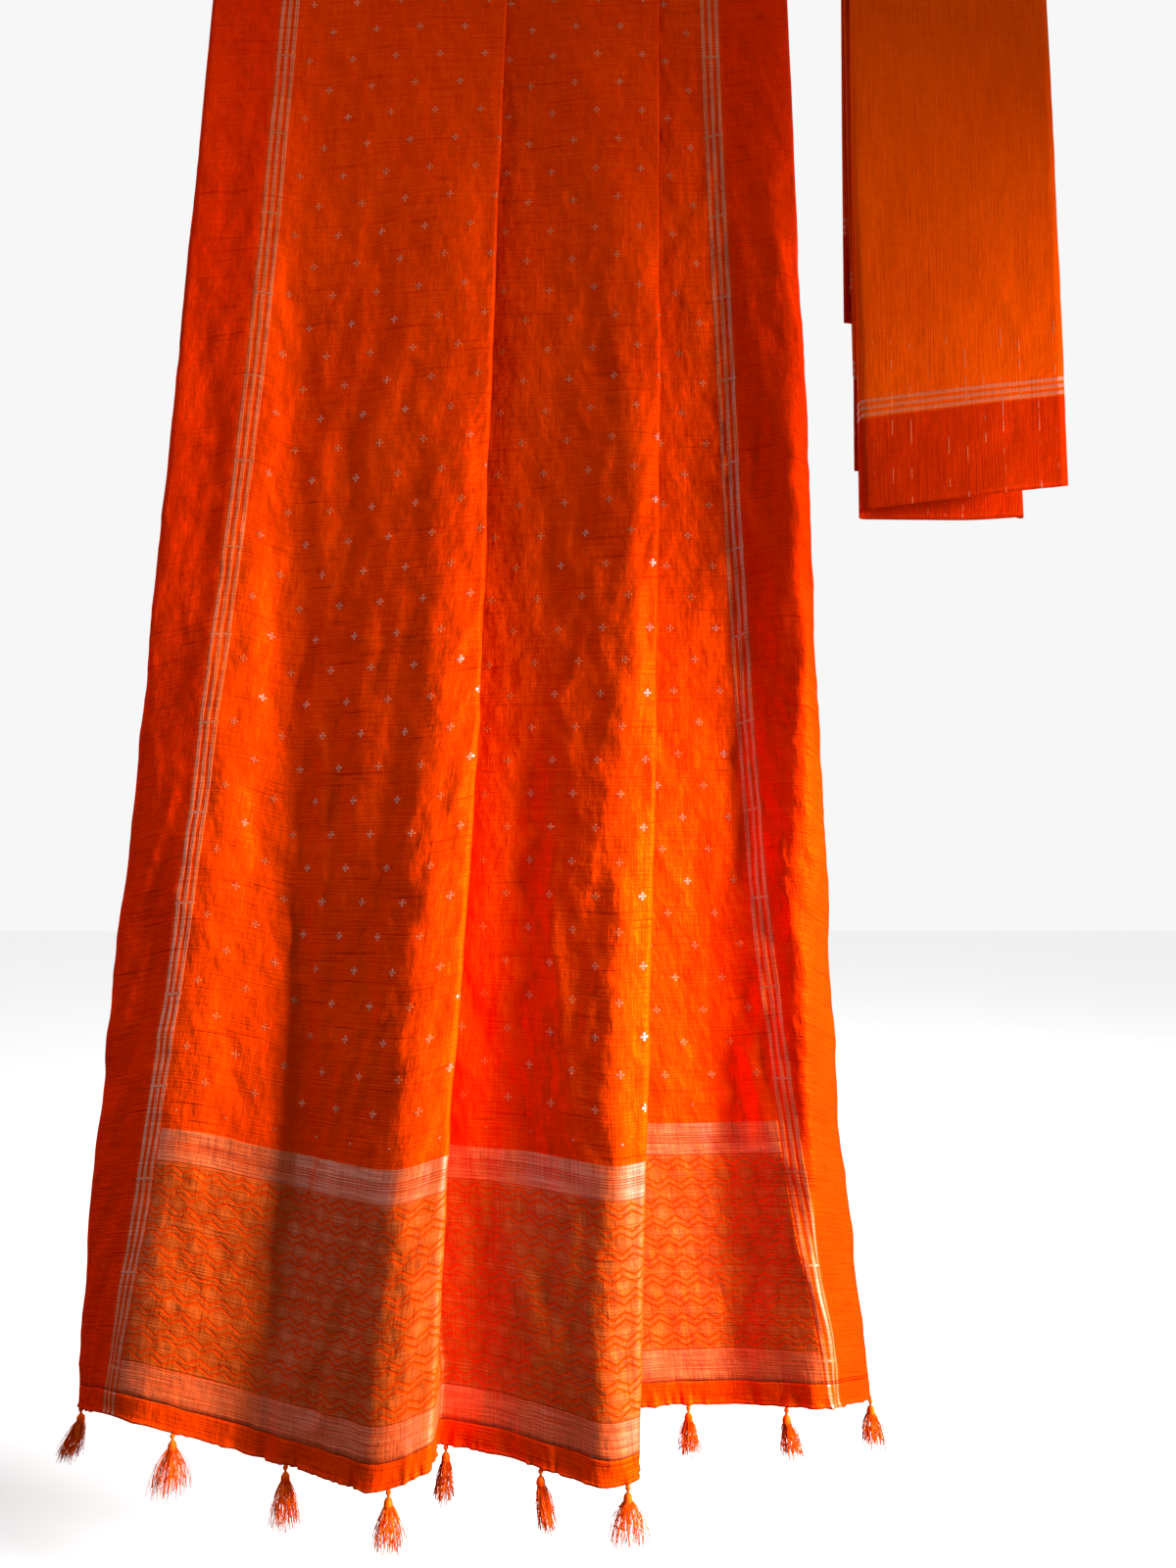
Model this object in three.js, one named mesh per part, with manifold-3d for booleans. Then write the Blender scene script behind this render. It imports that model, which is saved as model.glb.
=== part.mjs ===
import * as THREE from 'three';
import { mergeVertices } from 'three/addons/utils/BufferGeometryUtils.js';
import Module from 'manifold-3d';

// A silk saree hung over a plain round rod, with its unstitched blouse piece folded beside it.
// Millimetres, +Z up. The origin is the middle of the rod's axis, the rod runs along X and the
// cloth is looked at from the -Y side.

// Rod
const ROD_RADIUS = 12.5;
const ROD_LENGTH = 1140;
const ROD_SIDES = 32;

// Cloth
const WALL = 1.2;              // thickness that stands for the thin silk
const CLOTH_WIDTH = 1150;      // selvedge to selvedge
const FRONT_DROP = 1682;       // rod axis to hem
const BACK_DROP = 1300;        // rod axis to the axis of the turn at the foot of the back
const HEM_ROLL = 2.4;          // thickness of the rolled hem
const HEM_ROLL_HEIGHT = 4.5;
const SEAM_GAP = 0.3;          // between stretches of cloth and between hem and tassel
const REST = 17.5;             // depth of the undermost ply of the outer cloth at the rod
const PLY = 3;                 // depth from ply to ply where pleats lie pressed on the rod

// Rows of points down the cloth and over the rod
const FRONT_ROWS = 14;
const BACK_ROWS = 5;
const OVER_ROWS = 4;
const FOOT_ROWS = 4;
const LAST_ROW = FRONT_DROP - 6;

// The front fall. Each row is a place across the cloth: x and depth (how far it stands in front
// of the rod's axis) at five drops below the rod, and the drop of the hem there. The two knife
// pleats are pressed flat at the rod and open towards the hem, each highest on a brow that lies so
// far before its edge, and the right side turns back behind a soft ridge.
const DROPS = [0, 500, 950, 1350, FRONT_DROP];
const FRONT = {
  selvedgeLeft: { x: [-495, -523, -564, -603, -633], depth: [REST, 18, 4, -18, -48], hem: 1688 },
  borderLeft: { x: [-408, -426, -464, -506, -555], depth: [REST, 42, 50, 54, 54], hem: 1654 },
  troughLeft: { x: [-368, -390, -393, -371, -412], depth: [REST, 29, 29, 37, 48], hem: 1697 },
  browOne: { before: [126, 40, 46, 52, 52], depth: [REST + 2 * PLY, 70, 102, 116, 127], hem: 1696 },
  crestOne: { x: [-149, -163, -173, -198, -212], depth: [REST + 2 * PLY, 62, 94, 108, 118], hem: 1678 },
  valleyOne: { depth: [REST, 30, 37, 47, 62], hem: 1683 },
  panelMiddle: { depth: [REST, 44, 61, 68, 80], hem: 1682 },
  browTwo: { before: [126, 36, 36, 34, 32], depth: [REST + 2 * PLY, 66, 98, 118, 132], hem: 1688 },
  crestTwo: { x: [28, 25, 17, 5, -5], depth: [REST + 2 * PLY, 58, 88, 108, 122], hem: 1685 },
  valleyTwo: { depth: [REST, 28, 27, 22, 16], hem: 1664 },
  troughRight: { x: [70, 88, 112, 100, 99], depth: [REST, 22, 20, 14, 8], hem: 1663 },
  borderRight: { x: [85, 104, 135, 160, 189], depth: [REST, 26, 36, 50, 50], hem: 1650 },
  ridgeRight: { x: [150, 168, 182, 180, 203], depth: [REST, 54, 62, 60, 50], hem: 1650 },
  selvedgeRight: { x: [179, 188, 201, 224, 263], depth: [REST, 44, 42, 6, -36], hem: 1678 },
};
const FRONT_TURN = [PLY, 7, 10, 12, 14];   // depth of the cloth's turn at a pleat's edge

// The back fall, with the same pleats pressed nearly flat down to its foot
const BACK_DROPS = [0, 600, BACK_DROP];
const BACK = {
  selvedgeLeft: { x: [-495, -491, -484], depth: [REST, REST, REST] },
  borderLeft: { x: [-408, -404, -396], depth: [REST, 19, 19] },
  troughLeft: { x: [-368, -362, -356], depth: [REST, 20, 20] },
  browOne: { before: [126, 128, 126], depth: [REST + 2 * PLY, 29, 27] },
  crestOne: { x: [-149, -142, -150], depth: [REST + 2 * PLY, 32, 27] },
  valleyOne: { depth: [REST, REST, REST] },
  panelMiddle: { depth: [REST, 20, 18] },
  browTwo: { before: [126, 128, 126], depth: [REST + 2 * PLY, 28, 26] },
  crestTwo: { x: [28, 20, 26], depth: [REST + 2 * PLY, 31, 27] },
  valleyTwo: { depth: [REST, REST, REST] },
  troughRight: { x: [70, 66, 64], depth: [REST, 19, 18] },
  borderRight: { x: [85, 82, 80], depth: [REST, 19, 18] },
  ridgeRight: { x: [150, 146, 142], depth: [REST, 19, 18] },
  selvedgeRight: { x: [179, 176, 172], depth: [REST, REST, REST] },
};
const BACK_TURN = [PLY, 4, PLY];
const MIDDLE_SHARE = 0.42;     // where the hollow between the pleats lies, on the way from edge to brow
const FOOT_AXIS = 16;          // depth of the axis about which the foot of the back is turned under

// The rest of the saree, folded in between the two falls: two plies, each a slab with its own
// edges. Depths are its near and far face at the rod and at the foot of the back, and its right
// edge draws in towards the front end, behind the turned-back selvedge.
const INNER_PLIES = [
  { left: -478, right: 50, front: 905, frontRight: 35, top: [13.1, 14.8], foot: [7.0, 11.2] },
  { left: -488, right: 150, front: 928, frontRight: 88, top: [14.7, 16.4], foot: [11.1, 15.2] },
];

// The blouse piece: leaves folded on each other in a zigzag, open at the lower edge
const BLOUSE_WIDTH = 745;      // along the fold, leaf after leaf
const BLOUSE_LENGTH = 1150;    // down the front, over the rod and down the back
const BLOUSE_DROPS = [0, 340, 680];
const BLOUSE_ROWS = 5;
const BLOUSE = {
  edgeRight: { x: [484, 483, 478], front: [23, 40, 60], back: [23, 25, 24], hem: 656 },
  leafOne: { x: [370, 367, 362], front: [23, 44, 67], back: [23, 27, 27], hem: 671 },
  foldLeft: { x: [254, 252, 250], front: [23, 38, 54], back: [23, 24, 24], hem: 682 },
  foldLeftUnder: { x: [254, 253, 254], front: [20, 25, 20], back: [20, 20, 20], hem: 682 },
  leafTwo: { x: [340, 360, 390], front: [20, 17, 9], back: [20, 20, 20], hem: 680 },
  foldRight: { x: [432, 440, 450], front: [20, 15, 4], back: [20, 20, 20], hem: 674 },
  foldRightUnder: { x: [432, 440, 450], front: [17, 9, -4], back: [17, 17, 17], hem: 674 },
  leafThree: { x: [340, 340, 340], front: [17, 6, -9], back: [17, 17, 17], hem: 645 },
  foldBack: { x: [256, 257, 259], front: [17, 4, -12], back: [17, 17, 17], hem: 612 },
  foldBackUnder: { x: [256, 257, 259], front: [14, -1, -19], back: [14, 14, 14], hem: 612 },
};

// The tassels along the hem: share of the cloth's width from the left, length, how wide the
// strands spread, and how far their tips drift along X
const TASSELS = [
  { at: 0.003, length: 58, spread: 13, drift: -12 },
  { at: 0.146, length: 62, spread: 21, drift: -3 },
  { at: 0.256, length: 63, spread: 15, drift: 0 },
  { at: 0.362, length: 60, spread: 17, drift: 1 },
  { at: 0.458, length: 58, spread: 11, drift: -2 },
  { at: 0.552, length: 62, spread: 10, drift: 7 },
  { at: 0.631, length: 59, spread: 22, drift: 0 },
  { at: 0.778, length: 53, spread: 13, drift: 1 },
  { at: 0.868, length: 52, spread: 13, drift: 6 },
  { at: 0.997, length: 54, spread: 15, drift: 3 },
];
const STRANDS = 14;
const STRAND_RADIUS = 0.75;
const STRAND_SIDES = 3;
const GOLDEN_ANGLE = Math.PI * (3 - Math.sqrt(5));
const HEAD_SIDES = 7;
const HEAD_HEIGHT = 15;
const HEAD_PROFILE = [
  [0, 0], [2.8, -1.5], [2.8, -4], [1.4, -6.5], [4.2, -10.5], [4.4, -HEAD_HEIGHT], [0, -HEAD_HEIGHT],
];
const ROOT_SPREAD = 3.4;       // the strands' roots stand apart inside the foot of the head
const ROOT_DEPTH = 2;
// Share of the way from root to full spread that the strands have gone, at shares of their length
const STRAND_ROWS = [{ down: 0, out: 0 }, { down: 0.42, out: 0.72 }, { down: 1, out: 1 }];

const COLOURS = { silk: 0xe04a0a, silkBack: 0xd8430c, blouse: 0xe2510f, thread: 0xf0602a, wood: 0xc9a77c };

const wasm = await Module();
wasm.setup();

// Value at a drop of a table row, on a smooth curve through its entries
function along(drops, values, drop) {
  let i = 0;
  while (i < drops.length - 2 && drop > drops[i + 1]) i += 1;
  const slope = k => {
    const a = Math.max(k - 1, 0);
    const b = Math.min(k + 1, drops.length - 1);
    return (values[b] - values[a]) / (drops[b] - drops[a]);
  };
  const span = drops[i + 1] - drops[i];
  const t = (drop - drops[i]) / span;
  const rise = values[i + 1] - values[i];
  const bendIn = slope(i) * span - rise;
  const bendOut = rise - slope(i + 1) * span;
  return values[i] + t * rise + t * (1 - t) * ((1 - t) * bendIn + t * bendOut);
}

// Line across the cloth through corners, with each corner rounded. Every corner gives its own
// number of points, so the points of all rows lie under each other along the folds.
function crossLine(corners) {
  const legs = corners.slice(1).map((c, i) => {
    const dx = c.x - corners[i].x;
    const dd = c.depth - corners[i].depth;
    const length = Math.hypot(dx, dd);
    return { length, dx: dx / length, dd: dd / length };
  });
  const points = [];
  const put = (x, depth, dx, dd, hem) => {
    const length = Math.hypot(dx, dd);
    points.push({ x, depth, nx: -dd / length, nd: dx / length, hem });
  };
  const last = corners.length - 1;
  const reach = i => {
    if (i === 0 || i === last) return 0;
    return Math.min(corners[i].round, 0.45 * legs[i - 1].length, 0.45 * legs[i].length);
  };
  put(corners[0].x, corners[0].depth, legs[0].dx, legs[0].dd, corners[0].hem);
  for (let i = 0; i < last; i += 1) {
    const a = corners[i];
    const b = corners[i + 1];
    const leg = legs[i];
    const from = reach(i);
    const to = leg.length - reach(i + 1);
    for (let k = 1; k <= a.cuts; k += 1) {
      const s = from + (to - from) * k / a.cuts;
      const t = s / leg.length;
      put(a.x + leg.dx * s, a.depth + leg.dd * s, leg.dx, leg.dd, a.hem + (b.hem - a.hem) * t);
    }
    if (i + 1 === last) break;
    const r = reach(i + 1);
    const next = legs[i + 1];
    for (let k = 1; k <= b.steps; k += 1) {
      const t = k / b.steps;
      const back = r * (1 - t) * (1 - t);
      const on = r * t * t;
      put(
        b.x - leg.dx * back + next.dx * on,
        b.depth - leg.dd * back + next.dd * on,
        leg.dx * (1 - t) + next.dx * t,
        leg.dd * (1 - t) + next.dd * t,
        b.hem,
      );
    }
  }
  return points;
}

function lineLength(points) {
  const steps = points.slice(1).map((p, i) => Math.hypot(p.x - points[i].x, p.depth - points[i].depth));
  return steps.reduce((sum, step) => sum + step, 0);
}

// Finds the size of a tuck that makes the line across as long as the cloth is wide
function fitTuck(makeLine, width) {
  let low = 0.5;
  let high = 200;
  for (let i = 0; i < 40; i += 1) {
    const mid = (low + high) / 2;
    if (lineLength(makeLine(mid)) < width) low = mid;
    else high = mid;
  }
  return makeLine((low + high) / 2);
}

// Line across the outer cloth at a drop, from one selvedge to the other over both knife pleats
function sareeLine(table, drops, turns, drop) {
  const turn = along(drops, turns, drop);
  const at = (name, round = 40, steps = 2, cuts = 2) => {
    const row = table[name];
    return {
      x: row.x ? along(drops, row.x, drop) : 0,
      depth: along(drops, row.depth, drop),
      hem: row.hem ?? BACK_DROP,
      round,
      steps,
      cuts,
    };
  };
  const pleat = (number, tuck) => {
    const crest = at(`crest${number}`, turn, 2, 1);
    const valley = { ...at(`valley${number}`, turn, 2, 1), x: crest.x - tuck };
    const before = along(drops, table[`brow${number}`].before, drop);
    return [
      { ...at(`brow${number}`), x: crest.x - before },
      crest,
      { ...crest, depth: crest.depth - turn, cuts: 2 },
      { ...valley, depth: valley.depth + turn },
      { ...valley, cuts: 2 },
    ];
  };
  return fitTuck(tuck => {
    const one = pleat('One', tuck);
    const two = pleat('Two', tuck);
    return crossLine([
      at('selvedgeLeft'),
      at('borderLeft', 70, 4, 1),
      at('troughLeft', 16, 2, 3),
      ...one,
      { ...at('panelMiddle', 22), x: one[1].x + MIDDLE_SHARE * (two[0].x - one[1].x) },
      ...two,
      at('troughRight', 22, 2, 1),
      at('borderRight', 20, 2, 1),
      at('ridgeRight', 22, 3, 2),
      at('selvedgeRight'),
    ]);
  }, CLOTH_WIDTH);
}

const frontLine = drop => sareeLine(FRONT, DROPS, FRONT_TURN, drop);
const backLine = drop => sareeLine(BACK, BACK_DROPS, BACK_TURN, drop);

// Line across the blouse piece: three whole leaves and the start of a fourth
function blouseLine(drop, side) {
  const names = Object.keys(BLOUSE);
  const corner = name => {
    const row = BLOUSE[name];
    const turned = name.startsWith('fold');
    return {
      x: along(BLOUSE_DROPS, row.x, drop),
      depth: along(BLOUSE_DROPS, row[side], drop),
      hem: row.hem,
      round: turned ? 9 : 40,
      steps: 2,
      cuts: turned && !name.endsWith('Under') ? 1 : 2,
    };
  };
  return fitTuck(rest => {
    const corners = names.map(corner);
    const start = corners[corners.length - 1];
    return crossLine([...corners, { ...start, x: start.x + rest }]);
  }, BLOUSE_WIDTH);
}

// Where a point of the cloth lies. It is given by x, depth and hem, on the front fall, over the
// rod (angle from the front), on the back fall, or in the turn at its foot (angle from the back).
const onFront = (drop, length) => p => [p.x, -p.depth, -drop * p.hem / length];
const overRod = angle => p => [p.x, -p.depth * Math.cos(angle), p.depth * Math.sin(angle)];
const onBack = (drop, length) => p => [p.x, p.depth, -drop * p.hem / length];
const inFoot = angle => p => {
  const r = p.depth - FOOT_AXIS;
  return [p.x, FOOT_AXIS + r * Math.cos(angle), -BACK_DROP - r * Math.sin(angle)];
};

// Closed body from a grid of points for one face and a grid for the other
function shell(face, reverse) {
  const rows = face.length;
  const columns = face[0].length;
  const position = [...face.flat(2), ...reverse.flat(2)];
  const index = [];
  const id = (side, r, c) => side * rows * columns + r * columns + c;
  const quad = (a, b, c, d) => index.push(a, b, c, a, c, d);
  for (let r = 0; r < rows - 1; r += 1) {
    for (let c = 0; c < columns - 1; c += 1) {
      quad(id(0, r, c), id(0, r, c + 1), id(0, r + 1, c + 1), id(0, r + 1, c));
      quad(id(1, r, c), id(1, r + 1, c), id(1, r + 1, c + 1), id(1, r, c + 1));
    }
    quad(id(0, r, 0), id(0, r + 1, 0), id(1, r + 1, 0), id(1, r, 0));
    quad(id(1, r, columns - 1), id(1, r + 1, columns - 1), id(0, r + 1, columns - 1), id(0, r, columns - 1));
  }
  for (let c = 0; c < columns - 1; c += 1) {
    quad(id(1, 0, c), id(1, 0, c + 1), id(0, 0, c + 1), id(0, 0, c));
    quad(id(0, rows - 1, c), id(0, rows - 1, c + 1), id(1, rows - 1, c + 1), id(1, rows - 1, c));
  }
  return facingOut(position, index);
}

// Geometry whose faces point out, turned round if the enclosed volume comes out negative
function facingOut(position, index) {
  const at = i => new THREE.Vector3().fromArray(position, 3 * i);
  let volume = 0;
  for (let i = 0; i < index.length; i += 3) {
    volume += at(index[i]).dot(at(index[i + 1]).cross(at(index[i + 2])));
  }
  if (volume < 0) index.reverse();
  const geometry = new THREE.BufferGeometry();
  geometry.setAttribute('position', new THREE.Float32BufferAttribute(position, 3));
  geometry.setIndex(index);
  return geometry;
}

// Wall of cloth from rows, each with a line across, its thickness and where its points lie
function clothWall(rows) {
  const side = sign => rows.map(row => row.line.map(p => {
    const off = sign * row.wall / 2;
    return row.place({ x: p.x + p.nx * off, depth: p.depth + p.nd * off, hem: p.hem });
  }));
  return shell(side(1), side(-1));
}

const quarter = Math.PI / 2;
const gapAngle = SEAM_GAP / 2 / ROD_RADIUS;

function makePalluFall() {
  const rows = [];
  const top = frontLine(0);
  for (let i = 0; i < OVER_ROWS; i += 1) {
    rows.push({ line: top, wall: WALL, place: overRod((quarter - gapAngle) * (1 - i / OVER_ROWS)) });
  }
  for (let i = 0; i <= FRONT_ROWS; i += 1) {
    const drop = LAST_ROW * i / FRONT_ROWS;
    rows.push({ line: frontLine(drop), wall: WALL, place: onFront(drop, FRONT_DROP) });
  }
  for (const drop of [FRONT_DROP - HEM_ROLL_HEIGHT, FRONT_DROP]) {
    rows.push({ line: frontLine(drop), wall: HEM_ROLL, place: onFront(drop, FRONT_DROP) });
  }
  return clothWall(rows);
}

function makeBackFall() {
  const rows = [];
  const top = backLine(0);
  for (let i = 0; i < OVER_ROWS; i += 1) {
    const angle = quarter + gapAngle + (quarter - gapAngle) * i / OVER_ROWS;
    rows.push({ line: top, wall: WALL, place: overRod(angle) });
  }
  for (let i = 0; i <= BACK_ROWS; i += 1) {
    const drop = BACK_DROP * i / BACK_ROWS;
    rows.push({ line: backLine(drop), wall: WALL, place: onBack(drop, BACK_DROP) });
  }
  const foot = backLine(BACK_DROP);
  for (let i = 1; i <= FOOT_ROWS; i += 1) {
    rows.push({ line: foot, wall: WALL, place: inFoot(Math.PI * i / FOOT_ROWS) });
  }
  return clothWall(rows);
}

function makeBlouse(side) {
  const length = BLOUSE_DROPS[2];
  const rows = [];
  const top = blouseLine(0, side);
  const start = side === 'front' ? 0 : Math.PI;
  const toTop = side === 'front' ? quarter - gapAngle : gapAngle - quarter;
  for (let i = 0; i < OVER_ROWS; i += 1) {
    rows.push({ line: top, wall: WALL, place: overRod(start + toTop * (1 - i / OVER_ROWS)) });
  }
  const overLength = Math.PI * ROD_RADIUS;
  for (let i = 0; i <= BLOUSE_ROWS; i += 1) {
    const drop = length * i / BLOUSE_ROWS;
    const line = blouseLine(drop, side);
    if (side === 'front') {
      rows.push({ line, wall: WALL, place: onFront(drop, length) });
    } else {
      const rest = line.map(p => ({ ...p, hem: BLOUSE_LENGTH - overLength - p.hem }));
      rows.push({ line: rest, wall: WALL, place: onBack(drop, length) });
    }
  }
  return clothWall(rows);
}

// One solid of the two inner plies, each going up the back, over the rod and down the front
function makeInnerLayers() {
  const backEnd = BACK_DROP - 2;
  const slab = ply => {
    const side = k => {
      const rows = [];
      const row = (y, z, right = ply.right) => rows.push([[ply.left, y, z], [right, y, z]]);
      const depthAt = drop => ply.top[k] + (ply.foot[k] - ply.top[k]) * Math.max(0, drop / backEnd);
      row(-ply.top[k], -ply.front, ply.frontRight);
      row(-ply.top[k], -ply.front / 2, (ply.right + ply.frontRight) / 2);
      for (let i = 0; i <= 2 * OVER_ROWS; i += 1) {
        const angle = Math.PI * i / (2 * OVER_ROWS);
        row(-ply.top[k] * Math.cos(angle), ply.top[k] * Math.sin(angle));
      }
      for (const drop of [backEnd / 2, backEnd]) row(depthAt(drop), -drop);
      return rows;
    };
    return shell(side(1), side(0));
  };
  return fuse(INNER_PLIES.map(slab));
}

function solidOf(geometry) {
  const bare = geometry.clone();
  bare.deleteAttribute('normal');
  bare.deleteAttribute('uv');
  const merged = mergeVertices(bare, 1e-4);
  return new wasm.Manifold(new wasm.Mesh({
    numProp: 3,
    vertProperties: Float32Array.from(merged.attributes.position.array),
    triVerts: Uint32Array.from(merged.index.array),
  }));
}

function fuse(geometries) {
  const [first, ...rest] = geometries.map(solidOf);
  const whole = rest.reduce((sum, piece) => sum.add(piece), first);
  const mesh = whole.getMesh();
  return facingOut(Array.from(mesh.vertProperties), Array.from(mesh.triVerts));
}

// One strand: a thin prism through rows of points, spread outwards from the tassel's middle
function strand(number, tassel) {
  const ring = Math.sqrt((number + 0.5) / STRANDS);
  const angle = number * GOLDEN_ANGLE;
  const length = tassel.length * (1 - 0.12 * (number % 3) / 2) - HEAD_HEIGHT;
  const position = [];
  const index = [];
  for (const row of STRAND_ROWS) {
    const out = ring * (ROOT_SPREAD + (tassel.spread - ROOT_SPREAD) * row.out);
    const x = out * Math.cos(angle) + tassel.drift * row.down;
    const y = out * Math.sin(angle);
    const z = ROOT_DEPTH - HEAD_HEIGHT - length * row.down;
    for (let k = 0; k < STRAND_SIDES; k += 1) {
      const turn = 2 * Math.PI * k / STRAND_SIDES;
      position.push(x + STRAND_RADIUS * Math.cos(turn), y + STRAND_RADIUS * Math.sin(turn), z);
    }
  }
  for (let r = 0; r < STRAND_ROWS.length - 1; r += 1) {
    for (let k = 0; k < STRAND_SIDES; k += 1) {
      const a = r * STRAND_SIDES + k;
      const b = r * STRAND_SIDES + (k + 1) % STRAND_SIDES;
      index.push(a, b, b + STRAND_SIDES, a, b + STRAND_SIDES, a + STRAND_SIDES);
    }
  }
  const end = (STRAND_ROWS.length - 1) * STRAND_SIDES;
  index.push(0, 2, 1, end, end + 1, end + 2);
  return facingOut(position, index);
}

// A knot under the hem, a narrow neck and a bound head, with the strands fused into its foot
function makeTassel(tassel) {
  const profile = HEAD_PROFILE.map(([r, z]) => new THREE.Vector2(r, z));
  const head = new THREE.LatheGeometry(profile.reverse(), HEAD_SIDES);
  head.rotateX(Math.PI / 2);
  const strands = Array.from({ length: STRANDS }, (_, i) => strand(i, tassel));
  return fuse([head, ...strands]);
}

// Point of the hem at a share of the cloth's width
function hemPoint(share) {
  const line = frontLine(FRONT_DROP);
  let left = share * lineLength(line);
  for (let i = 1; i < line.length; i += 1) {
    const a = line[i - 1];
    const b = line[i];
    const step = Math.hypot(b.x - a.x, b.depth - a.depth);
    if (left <= step) {
      const t = left / step;
      const mix = key => a[key] + (b[key] - a[key]) * t;
      return new THREE.Vector3(mix('x'), -mix('depth'), -mix('hem'));
    }
    left -= step;
  }
  throw new Error('share lies past the selvedge');
}

function material(colour, roughness) {
  return new THREE.MeshStandardMaterial({ color: colour, roughness, metalness: 0, side: THREE.DoubleSide });
}

const saree = new THREE.Group();
function add(name, geometry, surface) {
  const mesh = new THREE.Mesh(geometry, surface);
  mesh.name = name;
  saree.add(mesh);
  return mesh;
}

const rodGeometry = new THREE.CylinderGeometry(ROD_RADIUS, ROD_RADIUS, ROD_LENGTH, ROD_SIDES);
add('rod', rodGeometry, material(COLOURS.wood, 0.5)).rotation.z = Math.PI / 2;
add('pallu_fall', makePalluFall(), material(COLOURS.silk, 0.45));
add('back_fall', makeBackFall(), material(COLOURS.silkBack, 0.5));
add('inner_layers', makeInnerLayers(), material(COLOURS.silkBack, 0.5));
add('blouse_front', makeBlouse('front'), material(COLOURS.blouse, 0.5));
add('blouse_back', makeBlouse('back'), material(COLOURS.blouse, 0.5));
TASSELS.forEach((tassel, i) => {
  const name = `tassel_${String(i + 1).padStart(2, '0')}`;
  const mesh = add(name, makeTassel(tassel), material(COLOURS.thread, 0.6));
  mesh.position.copy(hemPoint(tassel.at));
  mesh.position.z -= SEAM_GAP;
});

export default saree;
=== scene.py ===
import math

import bpy
import numpy as np
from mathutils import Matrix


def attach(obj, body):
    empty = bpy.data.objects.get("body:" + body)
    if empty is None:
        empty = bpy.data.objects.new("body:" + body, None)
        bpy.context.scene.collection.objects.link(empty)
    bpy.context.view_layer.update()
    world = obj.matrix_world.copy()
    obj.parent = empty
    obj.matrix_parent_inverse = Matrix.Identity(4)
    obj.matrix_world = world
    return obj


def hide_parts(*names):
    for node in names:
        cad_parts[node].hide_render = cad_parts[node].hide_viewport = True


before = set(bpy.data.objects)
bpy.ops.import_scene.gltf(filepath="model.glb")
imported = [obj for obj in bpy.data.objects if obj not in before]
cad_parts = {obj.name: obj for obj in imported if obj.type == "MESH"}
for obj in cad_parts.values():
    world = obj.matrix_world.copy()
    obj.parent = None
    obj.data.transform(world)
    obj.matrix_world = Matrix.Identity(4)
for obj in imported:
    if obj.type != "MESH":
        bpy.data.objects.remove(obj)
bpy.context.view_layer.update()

# Camera
# A phone held at waist height 1.3 m in front of the rod, with its usual wide-angle lens tipped up
# a little, so the rod stays just above the picture and the tassels near its foot.
camera_data = bpy.data.cameras.new("camera")
camera_data.lens = 26
camera_data.sensor_width = 36
camera = bpy.data.objects.new("camera", camera_data)
camera.location = (-0.055, -1.290, -1.074)
camera.rotation_euler = (math.radians(94), 0, 0)
bpy.context.collection.objects.link(camera)
bpy.context.scene.camera = camera

# Floor and light
# A plain pale floor well below the tassels and one low soft light at the right, in a pale room.
# Dark cloths and gauzes out of the picture keep the folds deep and the cloth's top in half light.
FLOOR_HEIGHT = -1.98
FLOOR_HALF = 14.0
FLOOR_PAINT = {"Base Color": (0.93, 0.93, 0.93, 1), "Roughness": 0.9}
KEY_AIM = (-0.15, 0.0, -1.05)
KEY_AZIMUTH = 66            # degrees to the right of straight in front
KEY_HEIGHT = 10             # degrees above level
KEY_DISTANCE = 3.2
KEY_SIZE = 0.8
KEY_POWER = 540
ROOM_LIGHT = 0.93
DARK_PAINT = {"Base Color": (0.015, 0.015, 0.015, 1)}
GAUZE_HOLES = 0.23          # share of the light that it lets through
DARK_CLOTHS = {
    "dark_cloth_front": [(-2.6, -2.7, -1.95), (-2.6, -2.7, 3.6), (1.2, -2.7, 3.6), (1.2, -2.7, -1.95)],
    "dark_cloth_low": [(-3.2, -2.7, -1.95), (2.4, -2.7, -1.95), (2.4, 1.4, -1.95), (-3.2, 1.4, -1.95)],
    "gauze_high": [(0.70, -1.75, -0.38), (0.70, -1.75, 1.4), (1.65, 0.42, 1.4), (1.65, 0.42, -0.38)],
    "gauze_low": [(0.85, -0.63, -0.77), (0.85, -0.63, 0.18), (1.04, -0.11, 0.18), (1.04, -0.11, -0.77)],
}


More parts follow.
